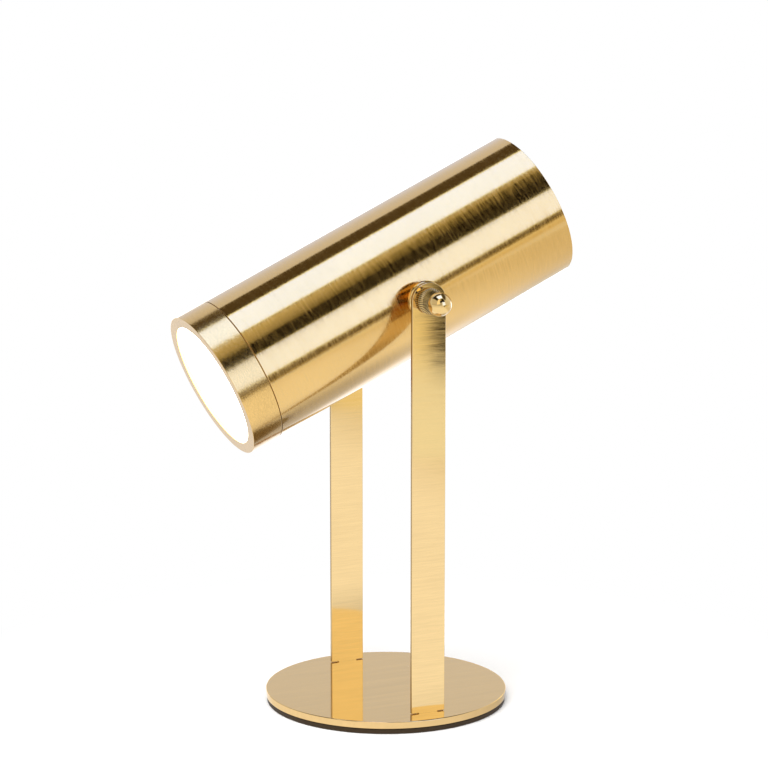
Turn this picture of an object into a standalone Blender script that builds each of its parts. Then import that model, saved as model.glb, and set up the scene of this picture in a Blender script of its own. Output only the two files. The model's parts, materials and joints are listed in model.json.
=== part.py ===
"""Tabletop searchlight lamp: a brass tube that tilts between two flat uprights on a round base.

Metres, +Z up. The origin is the centre of the base's underside. The pivot axis runs along Y, with the front
upright at -Y, and at rest the light points to -X and down. Pieces of the head are modelled in the head's own
frame: X is up, Y is along the pivot axis and Z runs along the tube to the light, from the pivot.
"""
import math

import bmesh
import bpy
from mathutils import Matrix, Vector

# Fits
SEAT_GAP = 0.0003            # left between pieces that touch
CUT_OVERRUN = 0.002          # how far a cutter runs past the face that it cuts
MERGE_DISTANCE = 0.000001    # points closer than this are one point
ROUND_HEAD_SHARE = 0.7       # of a round screw head's height and radius, where its edge slopes in
WIRE_STEP_SHARE = 1.2        # of a wire's diameter, between its points

# Base
PAD_THICKNESS = 0.0027
PAD_INSET = 0.0006           # the pad's edge inside the disc's edge
DISC_THICKNESS = 0.0039
DISC_EDGE_ROUND = 0.0005
DISC_RIM = 0.0116            # disc outside the uprights' outer faces
FOOT_POCKET_DEPTH = 0.0012   # pocket for the folded foot in the disc's underside

# Uprights
PIVOT_HEIGHT = 0.226
STRIP_WIDTH = 0.019
STRIP_THICKNESS = 0.002
STRIP_EDGE_BEVEL = 0.00025
TONGUE_WIDTH = 0.011
FOOT_LENGTH = 0.022          # flat run of the folded foot
FOOT_CORNER_RADIUS = 0.002
FOLD_INSIDE_RADIUS = 0.0006
FOOT_SCREW_PITCH = 0.010
FOOT_SCREW_HEAD_RADIUS = 0.0027
FOOT_SCREW_HEAD_HEIGHT = 0.0014
FOOT_SCREW_SHANK_RADIUS = 0.0014
FOOT_SCREW_BITE = 0.0018     # thread inside the disc

# Head tube and bezel
HEAD_TILT_DEG = 24.75        # light below the horizontal at rest
TUBE_RADIUS = 0.040
TUBE_WALL = 0.0012
TUBE_EDGE_ROUND = 0.0004
FRONT_REACH = 0.109          # pivot to the bezel's front face
REAR_REACH = 0.093           # pivot to the tube's rear end
BEZEL_LENGTH = 0.0174
BEZEL_EDGE_ROUND = 0.0004
LIP_WIDTH = 0.006            # flat ring round the light
LIP_THICKNESS = 0.0024
SPIGOT_WALL = 0.0016

# Light engine
DIFFUSER_THICKNESS = 0.003
CLIP_THICKNESS = 0.0012
CLIP_WIDTH = 0.0024
CLIP_GROOVE_DEPTH = 0.0007
CLIP_OPENING_DEG = 36.0
REFLECTOR_LENGTH = 0.0215
REFLECTOR_WALL = 0.0012
REFLECTOR_CLEARANCE = 0.001
BOARD_CLEARANCE = 0.001      # round the board, inside the bezel
BOARD_THICKNESS = 0.0016
BOARD_RIM = 0.001            # board outside the reflector's flange
BOARD_SCREW_COUNT = 3
BOARD_SCREW_HEAD_RADIUS = 0.0022
BOARD_SCREW_HEAD_HEIGHT = 0.0018
BOARD_SCREW_SHANK_RADIUS = 0.0012
BOARD_SCREW_MARGIN = 0.0005
BOARD_SCREW_BITE = 0.004
CHIP_SIDE = 0.0035
CHIP_HEIGHT = 0.0007
CHIP_RING_PITCH = 0.011
CHIP_RING_COUNTS = (1, 6)
SINK_BASE_THICKNESS = 0.006
FIN_LENGTH = 0.018
FIN_THICKNESS = 0.002
FIN_SPACE = 0.003
SINK_RIB_WIDTH = 0.024

# Chassis, power supply and wires
CHASSIS_THICKNESS = 0.0015
CHASSIS_WIDTH = 0.037
CHASSIS_DROP = 0.0165        # centre line down to the plate's upper face
CHASSIS_EAR_WIDTH = 0.009
CHASSIS_SCREW_SPACING = 0.014
CHASSIS_SCREW_HEIGHT = 0.0055
CHASSIS_SCREW_HEAD_RADIUS = 0.0025
CHASSIS_SCREW_HEAD_HEIGHT = 0.0018
CHASSIS_SCREW_SHANK_RADIUS = 0.0014
CHASSIS_SCREW_BITE = 0.006
DRIVER_LENGTH = 0.092
DRIVER_WIDTH = 0.036
DRIVER_HEIGHT = 0.027
DRIVER_EAR_LENGTH = 0.008
DRIVER_EAR_THICKNESS = 0.003
DRIVER_EDGE_ROUND = 0.0008
DRIVER_SETBACK = 0.010       # chassis front tab to the driver's front ear
LEAD_RADIUS = 0.0022
LEAD_TAIL = 0.006            # sheath inside the gland
WIRE_RADIUS = 0.0012
WIRE_HOLE_CLEARANCE = 0.0006
WIRE_HEIGHT = 0.013          # wire hole above the centre line
WIRE_TAIL = 0.0012           # wire in front of the board

# Rear end
CAP_THICKNESS = 0.003
CAP_RECESS = 0.0015
COUNTERBORE_DEPTH_RADIAL = 0.0005
CAP_EDGE_ROUND = 0.0003
CAP_SCREW_SPACING = 0.028
CAP_SCREW_HEAD_RADIUS = 0.0026
CAP_SCREW_HEAD_HEIGHT = 0.0014
CAP_SCREW_SHANK_RADIUS = 0.0014
CAP_SCREW_TAIL = 0.002
GLAND_THREAD_RADIUS = 0.0045
GLAND_BORE_CLEARANCE = 0.0004
GLAND_FLANGE_RADIUS = 0.0078
GLAND_FLANGE_THICKNESS = 0.0025
GLAND_DOME_RADIUS = 0.0066
GLAND_DOME_LENGTH = 0.0055
GLAND_MOUTH_RADIUS = 0.0042
GLAND_NUT_THICKNESS = 0.0032
GLAND_NUT_CORNER_RADIUS = 0.0072
GLAND_THREAD_TAIL = 0.0012

# Pivot and knobs
STUD_RADIUS = 0.0025
STUD_TAIL = 0.0015           # stud past its nut
BOSS_RADIUS = 0.005
BOSS_LENGTH = 0.0075
WASHER_RADIUS = 0.0099
WASHER_THICKNESS = 0.003
WASHER_EDGE_ROUND = 0.0006
STUD_NUT_THICKNESS = 0.004
STUD_NUT_CORNER_RADIUS = 0.0046
KNOB_RIM_RADIUS = 0.0069
KNOB_RIM_LENGTH = 0.003
KNOB_BACK_CHAMFER = 0.0004
KNOB_SHOULDER_RADIUS = 0.0056
KNOB_SHOULDER_LENGTH = 0.0007
KNOB_NECK_RADIUS = 0.0036
KNOB_NECK_LENGTH = 0.0030
KNOB_BALL_RADIUS = 0.0062
KNOB_TOOTH_COUNT = 40
KNOB_TOOTH_DEPTH = 0.0005
KNOB_BORE_DEPTH = 0.0055

# Facets
WIDE_STEPS = 72
HEAD_STEPS = 48
MIDDLE_STEPS = 32
SMALL_STEPS = 24
SCREW_STEPS = 10
ROUND_STEPS = 2
FOLD_STEPS = 6
TOP_STEPS = 24
BALL_ROW_STEPS = 9
BALL_COLUMN_STEPS = 20
WIRE_STEPS = 2
HEX_SIDE_COUNT = 6
SMOOTH_ANGLE_DEG = 32.0
WHOLE_TURN_DEG = 360.0

# Places up the base
DISC_BOTTOM = PAD_THICKNESS + SEAT_GAP
DISC_TOP = DISC_BOTTOM + DISC_THICKNESS
POCKET_CEILING = DISC_BOTTOM + FOOT_POCKET_DEPTH
FOOT_TOP = POCKET_CEILING - SEAT_GAP
FOOT_BOTTOM = FOOT_TOP - STRIP_THICKNESS
FOLD_START = FOOT_TOP + FOLD_INSIDE_RADIUS
SHOULDER_HEIGHT = DISC_TOP + SEAT_GAP

# Places out from the tube's centre line along the pivot axis
BOSS_SEAT = TUBE_RADIUS + SEAT_GAP
WASHER_SEAT = BOSS_SEAT + BOSS_LENGTH + SEAT_GAP
UPRIGHT_INNER = WASHER_SEAT + WASHER_THICKNESS + SEAT_GAP
UPRIGHT_OUTER = UPRIGHT_INNER + STRIP_THICKNESS
KNOB_SEAT = UPRIGHT_OUTER + SEAT_GAP
STUD_END = KNOB_SEAT + KNOB_BORE_DEPTH - SEAT_GAP
STUD_HOLE_RADIUS = STUD_RADIUS + SEAT_GAP
BASE_RADIUS = UPRIGHT_OUTER + DISC_RIM
FOOT_END = UPRIGHT_INNER - FOLD_INSIDE_RADIUS - FOOT_LENGTH
FOOT_MIDDLE = FOOT_END + FOOT_LENGTH / 2

# Radii in the head
TUBE_BORE = TUBE_RADIUS - TUBE_WALL
CAP_RADIUS = TUBE_BORE + COUNTERBORE_DEPTH_RADIAL - SEAT_GAP
SPIGOT_RADIUS = TUBE_BORE - SEAT_GAP
BEZEL_BORE = SPIGOT_RADIUS - SPIGOT_WALL
APERTURE_RADIUS = TUBE_RADIUS - LIP_WIDTH
DIFFUSER_RADIUS = BEZEL_BORE - SEAT_GAP
CLIP_RADIUS = BEZEL_BORE + CLIP_GROOVE_DEPTH - SEAT_GAP
STUD_NUT_SEAT = math.sqrt(TUBE_BORE ** 2 - STUD_NUT_CORNER_RADIUS ** 2) - SEAT_GAP
BOARD_RADIUS = BEZEL_BORE - BOARD_CLEARANCE
FLANGE_RADIUS = BOARD_RADIUS - BOARD_RIM
BOARD_SCREW_CIRCLE = FLANGE_RADIUS - BOARD_SCREW_MARGIN - BOARD_SCREW_HEAD_RADIUS
SINK_RADIUS = TUBE_BORE - SEAT_GAP
GLAND_BORE_RADIUS = LEAD_RADIUS + GLAND_BORE_CLEARANCE

# The mixing cone widens to the front, and clears the board's screw heads by their margin
REFLECTOR_FRONT_RADIUS = BEZEL_BORE - REFLECTOR_CLEARANCE
SCREW_RISE_SHARE = (REFLECTOR_WALL + SEAT_GAP + BOARD_SCREW_HEAD_HEIGHT) / REFLECTOR_LENGTH
CONE_AT_SCREW = BOARD_SCREW_CIRCLE - BOARD_SCREW_HEAD_RADIUS - BOARD_SCREW_MARGIN
REFLECTOR_REAR_RADIUS = (CONE_AT_SCREW - REFLECTOR_FRONT_RADIUS * SCREW_RISE_SHARE) / (1 - SCREW_RISE_SHARE)
REFLECTOR_SLOPE = (REFLECTOR_FRONT_RADIUS - REFLECTOR_REAR_RADIUS) / REFLECTOR_LENGTH

# Places along the tube, forwards from the pivot
LIP_BACK = FRONT_REACH - LIP_THICKNESS
DIFFUSER_FRONT = LIP_BACK - SEAT_GAP
DIFFUSER_BACK = DIFFUSER_FRONT - DIFFUSER_THICKNESS
CLIP_FRONT = DIFFUSER_BACK - SEAT_GAP
CLIP_BACK = CLIP_FRONT - CLIP_THICKNESS
REFLECTOR_FRONT = CLIP_BACK - SEAT_GAP
REFLECTOR_BACK = REFLECTOR_FRONT - REFLECTOR_LENGTH
BOARD_FRONT = REFLECTOR_BACK - SEAT_GAP
BOARD_BACK = BOARD_FRONT - BOARD_THICKNESS
SINK_FRONT = BOARD_BACK - SEAT_GAP
FIN_ROOT = SINK_FRONT - SINK_BASE_THICKNESS
SINK_BACK = FIN_ROOT - FIN_LENGTH
BEZEL_SEAM = FRONT_REACH - BEZEL_LENGTH
TUBE_FRONT = BEZEL_SEAM - SEAT_GAP
SPIGOT_END = SINK_FRONT + SEAT_GAP
CAP_REAR = -REAR_REACH + CAP_RECESS
CAP_FRONT = CAP_REAR + CAP_THICKNESS
CHASSIS_FRONT = SINK_BACK - SEAT_GAP
CHASSIS_REAR = CAP_FRONT + SEAT_GAP
DRIVER_FRONT = CHASSIS_FRONT - CHASSIS_THICKNESS - DRIVER_SETBACK
DRIVER_REAR = DRIVER_FRONT - DRIVER_LENGTH
DRIVER_BOTTOM = -CHASSIS_DROP + SEAT_GAP
DRIVER_MIDDLE = DRIVER_BOTTOM + DRIVER_HEIGHT / 2


def clear_scene():
    for obj in list(bpy.data.objects):
        bpy.data.objects.remove(obj, do_unlink=True)


def material(name, colour, roughness, metallic):
    made = bpy.data.materials.new(name)
    made.use_nodes = True
    shader = made.node_tree.nodes["Principled BSDF"]
    shader.inputs["Base Color"].default_value = (*colour, 1.0)
    shader.inputs["Roughness"].default_value = roughness
    shader.inputs["Metallic"].default_value = metallic
    made.diffuse_color = (*colour, 1.0)
    return made


def make_object(name, mesh_maker, parent, finish, location=(0, 0, 0), rotation=(0, 0, 0)):
    """Turn a bmesh into a named object with its material, shaded smooth where it is round."""
    bmesh.ops.remove_doubles(mesh_maker, verts=mesh_maker.verts, dist=MERGE_DISTANCE)
    bmesh.ops.recalc_face_normals(mesh_maker, faces=mesh_maker.faces)
    mesh = bpy.data.meshes.new(name)
    mesh_maker.to_mesh(mesh)
    mesh_maker.free()
    mesh.shade_smooth()
    mesh.set_sharp_from_angle(angle=math.radians(SMOOTH_ANGLE_DEG))
    obj = bpy.data.objects.new(name, mesh)
    bpy.context.scene.collection.objects.link(obj)
    obj.parent = parent
    obj.location = location
    obj.rotation_euler = rotation
    if finish is not None:
        mesh.materials.append(finish)
    return obj


def make_axis(name, parent=None, location=(0, 0, 0), rotation=(0, 0, 0)):
    axis = bpy.data.objects.new(name, None)
    bpy.context.scene.collection.objects.link(axis)
    axis.empty_display_size = TUBE_RADIUS
    axis.parent = parent
    axis.location = location
    axis.rotation_euler = rotation
    return axis


def add_turned(maker, outline, steps, place=Matrix.Identity(4), sweep_deg=WHOLE_TURN_DEG):
    """Revolve (radius, height) points about the place's Z. An outline that ends on the axis is open there."""
    points = [maker.verts.new(place @ Vector((radius, 0, height))) for radius, height in outline]
    edges = [maker.edges.new(pair) for pair in zip(points, points[1:])]
    on_axis = outline[0][0] == 0 and outline[-1][0] == 0
    if not on_axis:
        edges.append(maker.edges.new((points[-1], points[0])))
    whole = sweep_deg >= WHOLE_TURN_DEG
    if not whole:
        maker.faces.new(points)
    made = bmesh.ops.spin(maker, geom=points + edges, cent=place.translation, axis=place.col[2].xyz,
                          angle=math.radians(sweep_deg), steps=steps, use_merge=whole)
    if not whole:
        maker.faces.new([item for item in made["geom_last"] if isinstance(item, bmesh.types.BMVert)])


def add_prism(maker, outline, bottom, top, place=Matrix.Identity(4)):
    """Extrude a flat (x, y) outline from one height to the other."""
    face = maker.faces.new([maker.verts.new((x, y, bottom)) for x, y in outline])
    moved = bmesh.ops.extrude_face_region(maker, geom=[face], use_keep_orig=True)["geom"]
    upper = [item for item in moved if isinstance(item, bmesh.types.BMVert)]
    bmesh.ops.translate(maker, vec=(0, 0, top - bottom), verts=upper)
    bmesh.ops.transform(maker, matrix=place, verts=list(face.verts) + upper)


def turned(name, outline, steps, parent, finish, location=(0, 0, 0), sweep_deg=WHOLE_TURN_DEG):
    maker = bmesh.new()
    add_turned(maker, outline, steps, sweep_deg=sweep_deg)
    return make_object(name, maker, parent, finish, location)


def prism(name, outline, bottom, top, parent, finish, location=(0, 0, 0), rotation=(0, 0, 0)):
    maker = bmesh.new()
    add_prism(maker, outline, bottom, top)
    return make_object(name, maker, parent, finish, location, rotation)


def cut(obj, cutter, operation='DIFFERENCE'):
    """Subtract a hidden cutter that is parented like the piece that it cuts."""
    cutter.hide_render = True
    cutter.display_type = 'WIRE'
    boolean = obj.modifiers.new("with_" + cutter.name, 'BOOLEAN')
    boolean.operation = operation
    boolean.solver = 'EXACT'
    boolean.object = cutter


def join(obj, guide):
    """Fuse a hidden guide into the piece that carries it."""
    cut(obj, guide, 'UNION')


def round_edges(obj, width, segments):
    bevel = obj.modifiers.new("round_edges", 'BEVEL')
    bevel.width = width
    bevel.segments = segments
    bevel.limit_method = 'ANGLE'
    bevel.angle_limit = math.radians(SMOOTH_ANGLE_DEG)


def circle(radius, steps, centre=(0, 0)):
    turns = [2 * math.pi * step / steps for step in range(steps)]
    return [(centre[0] + radius * math.cos(turn), centre[1] + radius * math.sin(turn)) for turn in turns]


def arc(centre, radius, start_deg, end_deg, steps):
    turns = [math.radians(start_deg + (end_deg - start_deg) * step / steps) for step in range(steps + 1)]
    return [(centre[0] + radius * math.cos(turn), centre[1] + radius * math.sin(turn)) for turn in turns]


def box_outline(low, high):
    return [(low[0], low[1]), (high[0], low[1]), (high[0], high[1]), (low[0], high[1])]


def screw_outline(head_radius, head_height, shank_radius, bite, countersunk):
    """A screw along Z, head up, with the seat of its head at zero, or its top if it is countersunk."""
    if countersunk:
        return [(0, 0), (head_radius, 0), (shank_radius, -head_height), (shank_radius, -bite), (0, -bite)]
    return [(0, head_height), (head_radius * ROUND_HEAD_SHARE, head_height),
            (head_radius, head_height * ROUND_HEAD_SHARE), (head_radius, 0), (shank_radius, 0),
            (shank_radius, -bite), (0, -bite)]


def countersink_outline(head_radius, head_height, shank_radius, depth):
    """The hole for a countersunk screw, with its mouth at zero and room all round."""
    mouth = head_radius + SEAT_GAP
    hole = shank_radius + SEAT_GAP
    return [(0, CUT_OVERRUN), (mouth, CUT_OVERRUN), (mouth, 0), (hole, -head_height - SEAT_GAP),
            (hole, -depth), (0, -depth)]


def round_outline(radius, bottom, top):
    """The outline of a plain round body, from its top to its bottom."""
    return [(0, top), (radius, top), (radius, bottom), (0, bottom)]


def turned_cutter(name, outline, places, parent):
    """Several like turned cutters in one object."""
    maker = bmesh.new()
    for place in places:
        add_turned(maker, outline, SCREW_STEPS, place)
    return make_object(name, maker, parent, None)


def place_screws(name, outline, places, parent, finish):
    """One object for each screw, all on one mesh."""
    first = turned(name + "_1", outline, SCREW_STEPS, parent, finish)
    screws = [first]
    for number in range(2, len(places) + 1):
        screw = bpy.data.objects.new(f"{name}_{number}", first.data)
        bpy.context.scene.collection.objects.link(screw)
        screw.parent = parent
        screws.append(screw)
    for screw, place in zip(screws, places):
        screw.matrix_local = place


def build_base(finishes):
    """Rubber pad and brass disc, with pockets and slots for the uprights' folded feet."""
    foot_places = [Matrix.Rotation(turn, 4, 'Z') for turn in (0, math.pi)]
    pad = prism("base_pad", circle(BASE_RADIUS - PAD_INSET, WIDE_STEPS), 0, PAD_THICKNESS, None,
                finishes["rubber"])
    disc = prism("base_disc", circle(BASE_RADIUS, WIDE_STEPS), DISC_BOTTOM, DISC_TOP, None, finishes["disc"])
    round_edges(disc, DISC_EDGE_ROUND, ROUND_STEPS)

    half_pocket = TONGUE_WIDTH / 2 + SEAT_GAP
    inner = FOOT_END - SEAT_GAP
    step = UPRIGHT_INNER - SEAT_GAP
    outer = UPRIGHT_OUTER + SEAT_GAP
    over = DISC_TOP + CUT_OVERRUN
    under = DISC_BOTTOM - CUT_OVERRUN
    foot_profile = [(inner, under), (outer, under), (outer, over), (step, over), (step, POCKET_CEILING),
                    (inner, POCKET_CEILING)]
    profile_to_yz = Matrix.Rotation(math.pi / 2, 4, 'Z') @ Matrix.Rotation(math.pi / 2, 4, 'X')
    pockets = bmesh.new()
    pad_pockets = bmesh.new()
    screw_holes = bmesh.new()
    screw_places = []
    for place in foot_places:
        add_prism(pockets, foot_profile, -half_pocket, half_pocket, place @ profile_to_yz)
        add_prism(pad_pockets, box_outline((-half_pocket, inner), (half_pocket, outer)),
                  FOOT_BOTTOM - SEAT_GAP, PAD_THICKNESS + CUT_OVERRUN, place)
        for side in (-1, 1):
            spot = Matrix.Translation((0, FOOT_MIDDLE + side * FOOT_SCREW_PITCH / 2, FOOT_BOTTOM))
            screw_places.append(place @ spot @ Matrix.Rotation(math.pi, 4, 'X'))
    hole_depth = STRIP_THICKNESS + SEAT_GAP + FOOT_SCREW_BITE + SEAT_GAP
    for place in screw_places:
        hole = circle(FOOT_SCREW_SHANK_RADIUS + SEAT_GAP, SCREW_STEPS)
        add_prism(screw_holes, hole, -hole_depth, 0, place)
    cut(disc, make_object("foot_cutter", pockets, None, None))
    cut(disc, make_object("disc_hole_cutter", screw_holes, None, None))
    cut(pad, make_object("pad_pocket_cutter", pad_pockets, None, None))
    length = STRIP_THICKNESS + SEAT_GAP + FOOT_SCREW_BITE
    screw = screw_outline(FOOT_SCREW_HEAD_RADIUS, FOOT_SCREW_HEAD_HEIGHT, FOOT_SCREW_SHANK_RADIUS, length,
                          countersunk=True)
    place_screws("foot_screw", screw, screw_places, None, finishes["steel"])


def fold(point):
    """Bend a point of the flat blank inwards round the fold. Y is zero on the blank's inner face."""
    below = FOLD_START - point.z
    if below <= 0:
        return point
    middle_radius = FOLD_INSIDE_RADIUS + STRIP_THICKNESS / 2
    bend_length = middle_radius * math.pi / 2
    radius = FOLD_INSIDE_RADIUS + point.y
    if below < bend_length:
        turn = below / middle_radius
        across = radius * math.cos(turn) - FOLD_INSIDE_RADIUS
        return Vector((point.x, across, FOLD_START - radius * math.sin(turn)))
    return Vector((point.x, -FOLD_INSIDE_RADIUS - (below - bend_length), FOLD_START - radius))


def build_upright(side, turn, finishes):
    """A flat blank with a round top, shoulders and a tongue, folded inwards under the disc."""
    half = STRIP_WIDTH / 2
    half_tongue = TONGUE_WIDTH / 2
    bend_length = (FOLD_INSIDE_RADIUS + STRIP_THICKNESS / 2) * math.pi / 2
    tip = FOLD_START - bend_length - FOOT_LENGTH
    corner = FOOT_CORNER_RADIUS
    outline = arc((0, PIVOT_HEIGHT), half, 0, 180, TOP_STEPS)
    outline += [(-half, SHOULDER_HEIGHT), (-half_tongue, SHOULDER_HEIGHT)]
    outline += arc((-half_tongue + corner, tip + corner), corner, 180, 270, ROUND_STEPS)
    outline += arc((half_tongue - corner, tip + corner), corner, 270, 360, ROUND_STEPS)
    outline += [(half_tongue, SHOULDER_HEIGHT), (half, SHOULDER_HEIGHT)]
    blank = bmesh.new()
    upright_to_xz = Matrix.Rotation(math.pi / 2, 4, 'X')
    add_prism(blank, outline, -STRIP_THICKNESS, 0, upright_to_xz)
    for step in range(FOLD_STEPS + 1):
        height = FOLD_START - bend_length * step / FOLD_STEPS
        everything = list(blank.verts) + list(blank.edges) + list(blank.faces)
        bmesh.ops.bisect_plane(blank, geom=everything, plane_co=(0, 0, height), plane_no=(0, 0, 1),
                               dist=MERGE_DISTANCE)
    for point in blank.verts:
        point.co = fold(point.co)
    axis = make_axis("upright_frame_" + side, None, rotation=(0, 0, turn))
    upright = make_object("upright_" + side, blank, axis, finishes["strip"], (0, UPRIGHT_INNER, 0))
    round_edges(upright, STRIP_EDGE_BEVEL, 1)

    holes = bmesh.new()
    pivot_place = Matrix.Translation((0, UPRIGHT_INNER, PIVOT_HEIGHT)) @ Matrix.Rotation(-math.pi / 2, 4, 'X')
    add_prism(holes, circle(STUD_HOLE_RADIUS, SMALL_STEPS), -CUT_OVERRUN, STRIP_THICKNESS + CUT_OVERRUN,
              pivot_place)
    cut(upright, make_object("pivot_hole_" + side, holes, axis, None))
    sink = countersink_outline(FOOT_SCREW_HEAD_RADIUS, FOOT_SCREW_HEAD_HEIGHT, FOOT_SCREW_SHANK_RADIUS,
                               STRIP_THICKNESS + CUT_OVERRUN)
    sides = (-1, 1)
    spots = [Matrix.Translation((0, FOOT_MIDDLE + way * FOOT_SCREW_PITCH / 2, FOOT_BOTTOM)) for way in sides]
    places = [spot @ Matrix.Rotation(math.pi, 4, 'X') for spot in spots]
    cut(upright, turned_cutter("foot_hole_" + side, sink, places, axis))


def build_tube(head, finishes):
    """Brass tube with a counterbore for the rear cap and a hole for each stud."""
    band = 2 * BOSS_RADIUS
    shoulder = CAP_FRONT + SEAT_GAP
    counterbore = TUBE_BORE + COUNTERBORE_DEPTH_RADIAL
    outline = [(TUBE_RADIUS, TUBE_FRONT), (TUBE_RADIUS, band), (TUBE_RADIUS, -band)]
    outline += arc((TUBE_RADIUS - TUBE_EDGE_ROUND, -REAR_REACH + TUBE_EDGE_ROUND), TUBE_EDGE_ROUND, 0, -90,
                   ROUND_STEPS - 1)
    outline += [(counterbore, -REAR_REACH), (counterbore, shoulder), (TUBE_BORE, shoulder),
                (TUBE_BORE, -band), (TUBE_BORE, band), (TUBE_BORE, TUBE_FRONT)]
    tube = turned("head_tube", outline, HEAD_STEPS, head, finishes["tube"])
    cutter = bmesh.new()
    reach = TUBE_RADIUS + CUT_OVERRUN
    across = Matrix.Rotation(math.pi / 2, 4, 'X')
    add_prism(cutter, circle(STUD_HOLE_RADIUS, SMALL_STEPS), -reach, reach, across)
    cut(tube, make_object("stud_hole_cutter", cutter, head, None))


def build_bezel(head, finishes):
    """Turned ring with a flat lip round the light, a spigot into the tube and a groove for the clip."""
    groove = BEZEL_BORE + CLIP_GROOVE_DEPTH
    edge = BEZEL_EDGE_ROUND
    outline = [(TUBE_RADIUS, BEZEL_SEAM)]
    outline += arc((TUBE_RADIUS - edge, FRONT_REACH - edge), edge, 0, 90, ROUND_STEPS - 1)
    outline += [(APERTURE_RADIUS, FRONT_REACH), (APERTURE_RADIUS, LIP_BACK), (BEZEL_BORE, LIP_BACK),
                (BEZEL_BORE, CLIP_FRONT + SEAT_GAP), (groove, CLIP_FRONT + SEAT_GAP),
                (groove, CLIP_BACK - SEAT_GAP), (BEZEL_BORE, CLIP_BACK - SEAT_GAP), (BEZEL_BORE, SPIGOT_END),
                (SPIGOT_RADIUS, SPIGOT_END), (SPIGOT_RADIUS, BEZEL_SEAM)]
    turned("front_bezel", outline, HEAD_STEPS, head, finishes["bezel"])


def build_light_engine(head, finishes):
    """Diffuser, its clip, the mixing cone, the light board and the finned block behind it."""
    turned("diffuser", round_outline(DIFFUSER_RADIUS, DIFFUSER_BACK, DIFFUSER_FRONT), HEAD_STEPS, head,
           finishes["opal"])
    inner = CLIP_RADIUS - CLIP_WIDTH
    turned("diffuser_clip", [(inner, CLIP_BACK), (CLIP_RADIUS, CLIP_BACK), (CLIP_RADIUS, CLIP_FRONT),
                             (inner, CLIP_FRONT)], MIDDLE_STEPS, head, finishes["steel"],
           sweep_deg=WHOLE_TURN_DEG - CLIP_OPENING_DEG)
    flange_top = REFLECTOR_BACK + REFLECTOR_WALL
    rear = REFLECTOR_REAR_RADIUS
    outline = [(REFLECTOR_FRONT_RADIUS, REFLECTOR_FRONT),
               (REFLECTOR_FRONT_RADIUS - REFLECTOR_WALL, REFLECTOR_FRONT),
               (rear - REFLECTOR_WALL, REFLECTOR_BACK), (FLANGE_RADIUS, REFLECTOR_BACK),
               (FLANGE_RADIUS, flange_top), (rear + REFLECTOR_SLOPE * REFLECTOR_WALL, flange_top)]
    reflector = turned("reflector", outline, MIDDLE_STEPS, head, finishes["white"])

    board = prism("led_board", circle(BOARD_RADIUS, MIDDLE_STEPS), BOARD_BACK, BOARD_FRONT, head,
                  finishes["board"])
    chips = bmesh.new()
    corner = CHIP_SIDE / 2
    chip = box_outline((-corner, -corner), (corner, corner))
    for ring, count in enumerate(CHIP_RING_COUNTS):
        for step in range(count):
            turn = Matrix.Rotation(2 * math.pi * (step + 1 / 2) / count, 4, 'Z')
            spot = Matrix.Translation((ring * CHIP_RING_PITCH, 0, BOARD_FRONT))
            add_prism(chips, chip, -BOARD_THICKNESS / 2, CHIP_HEIGHT, turn @ spot)
    join(board, make_object("chip_guide", chips, head, None))

    sink = prism("heat_sink", circle(SINK_RADIUS, HEAD_STEPS), SINK_BACK, SINK_FRONT, head,
                 finishes["aluminium"])
    spaces = bmesh.new()
    pitch = FIN_THICKNESS + FIN_SPACE
    first = SINK_RIB_WIDTH / 2
    reach = SINK_RADIUS + CUT_OVERRUN
    for side in (-1, 1):
        for number in range(int((SINK_RADIUS - first) / pitch)):
            near = side * (first + number * pitch)
            far = near + side * FIN_SPACE
            add_prism(spaces, box_outline((-reach, min(near, far)), (reach, max(near, far))),
                      SINK_BACK - CUT_OVERRUN, FIN_ROOT)
    cut(sink, make_object("fin_cutter", spaces, head, None))

    turns = [2 * math.pi * (step + 1 / 2) / BOARD_SCREW_COUNT for step in range(BOARD_SCREW_COUNT)]
    spots = [(BOARD_SCREW_CIRCLE * math.cos(turn), BOARD_SCREW_CIRCLE * math.sin(turn)) for turn in turns]
    head_seat = flange_top + SEAT_GAP
    depth = head_seat - SINK_FRONT + BOARD_SCREW_BITE
    outline = screw_outline(BOARD_SCREW_HEAD_RADIUS, BOARD_SCREW_HEAD_HEIGHT, BOARD_SCREW_SHANK_RADIUS, depth,
                            countersunk=False)
    places = [Matrix.Translation((x, y, head_seat)) for x, y in spots]
    place_screws("board_screw", outline, places, head, finishes["steel"])
    hole_radius = BOARD_SCREW_SHANK_RADIUS + SEAT_GAP
    bottom = SINK_FRONT - BOARD_SCREW_BITE - SEAT_GAP
    wire_hole = WIRE_RADIUS + WIRE_HOLE_CLEARANCE
    for piece, name in ((reflector, "reflector_holes"), (board, "board_holes"), (sink, "sink_holes")):
        holes = bmesh.new()
        for spot in spots:
            add_prism(holes, circle(hole_radius, SCREW_STEPS, spot), bottom, flange_top + CUT_OVERRUN)
        if piece is not reflector:
            add_prism(holes, circle(wire_hole, SCREW_STEPS, (WIRE_HEIGHT, 0)), SINK_BACK - CUT_OVERRUN,
                      BOARD_FRONT + CUT_OVERRUN)
        if piece is sink:
            for side in (-1, 1):
                spot = (CHASSIS_SCREW_HEIGHT - CHASSIS_DROP, side * CHASSIS_SCREW_SPACING / 2)
                add_prism(holes, circle(CHASSIS_SCREW_SHANK_RADIUS + SEAT_GAP, SCREW_STEPS, spot),
                          SINK_BACK - CUT_OVERRUN, SINK_BACK + CHASSIS_SCREW_BITE + SEAT_GAP)
        cut(piece, make_object(name, holes, head, None))


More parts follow.
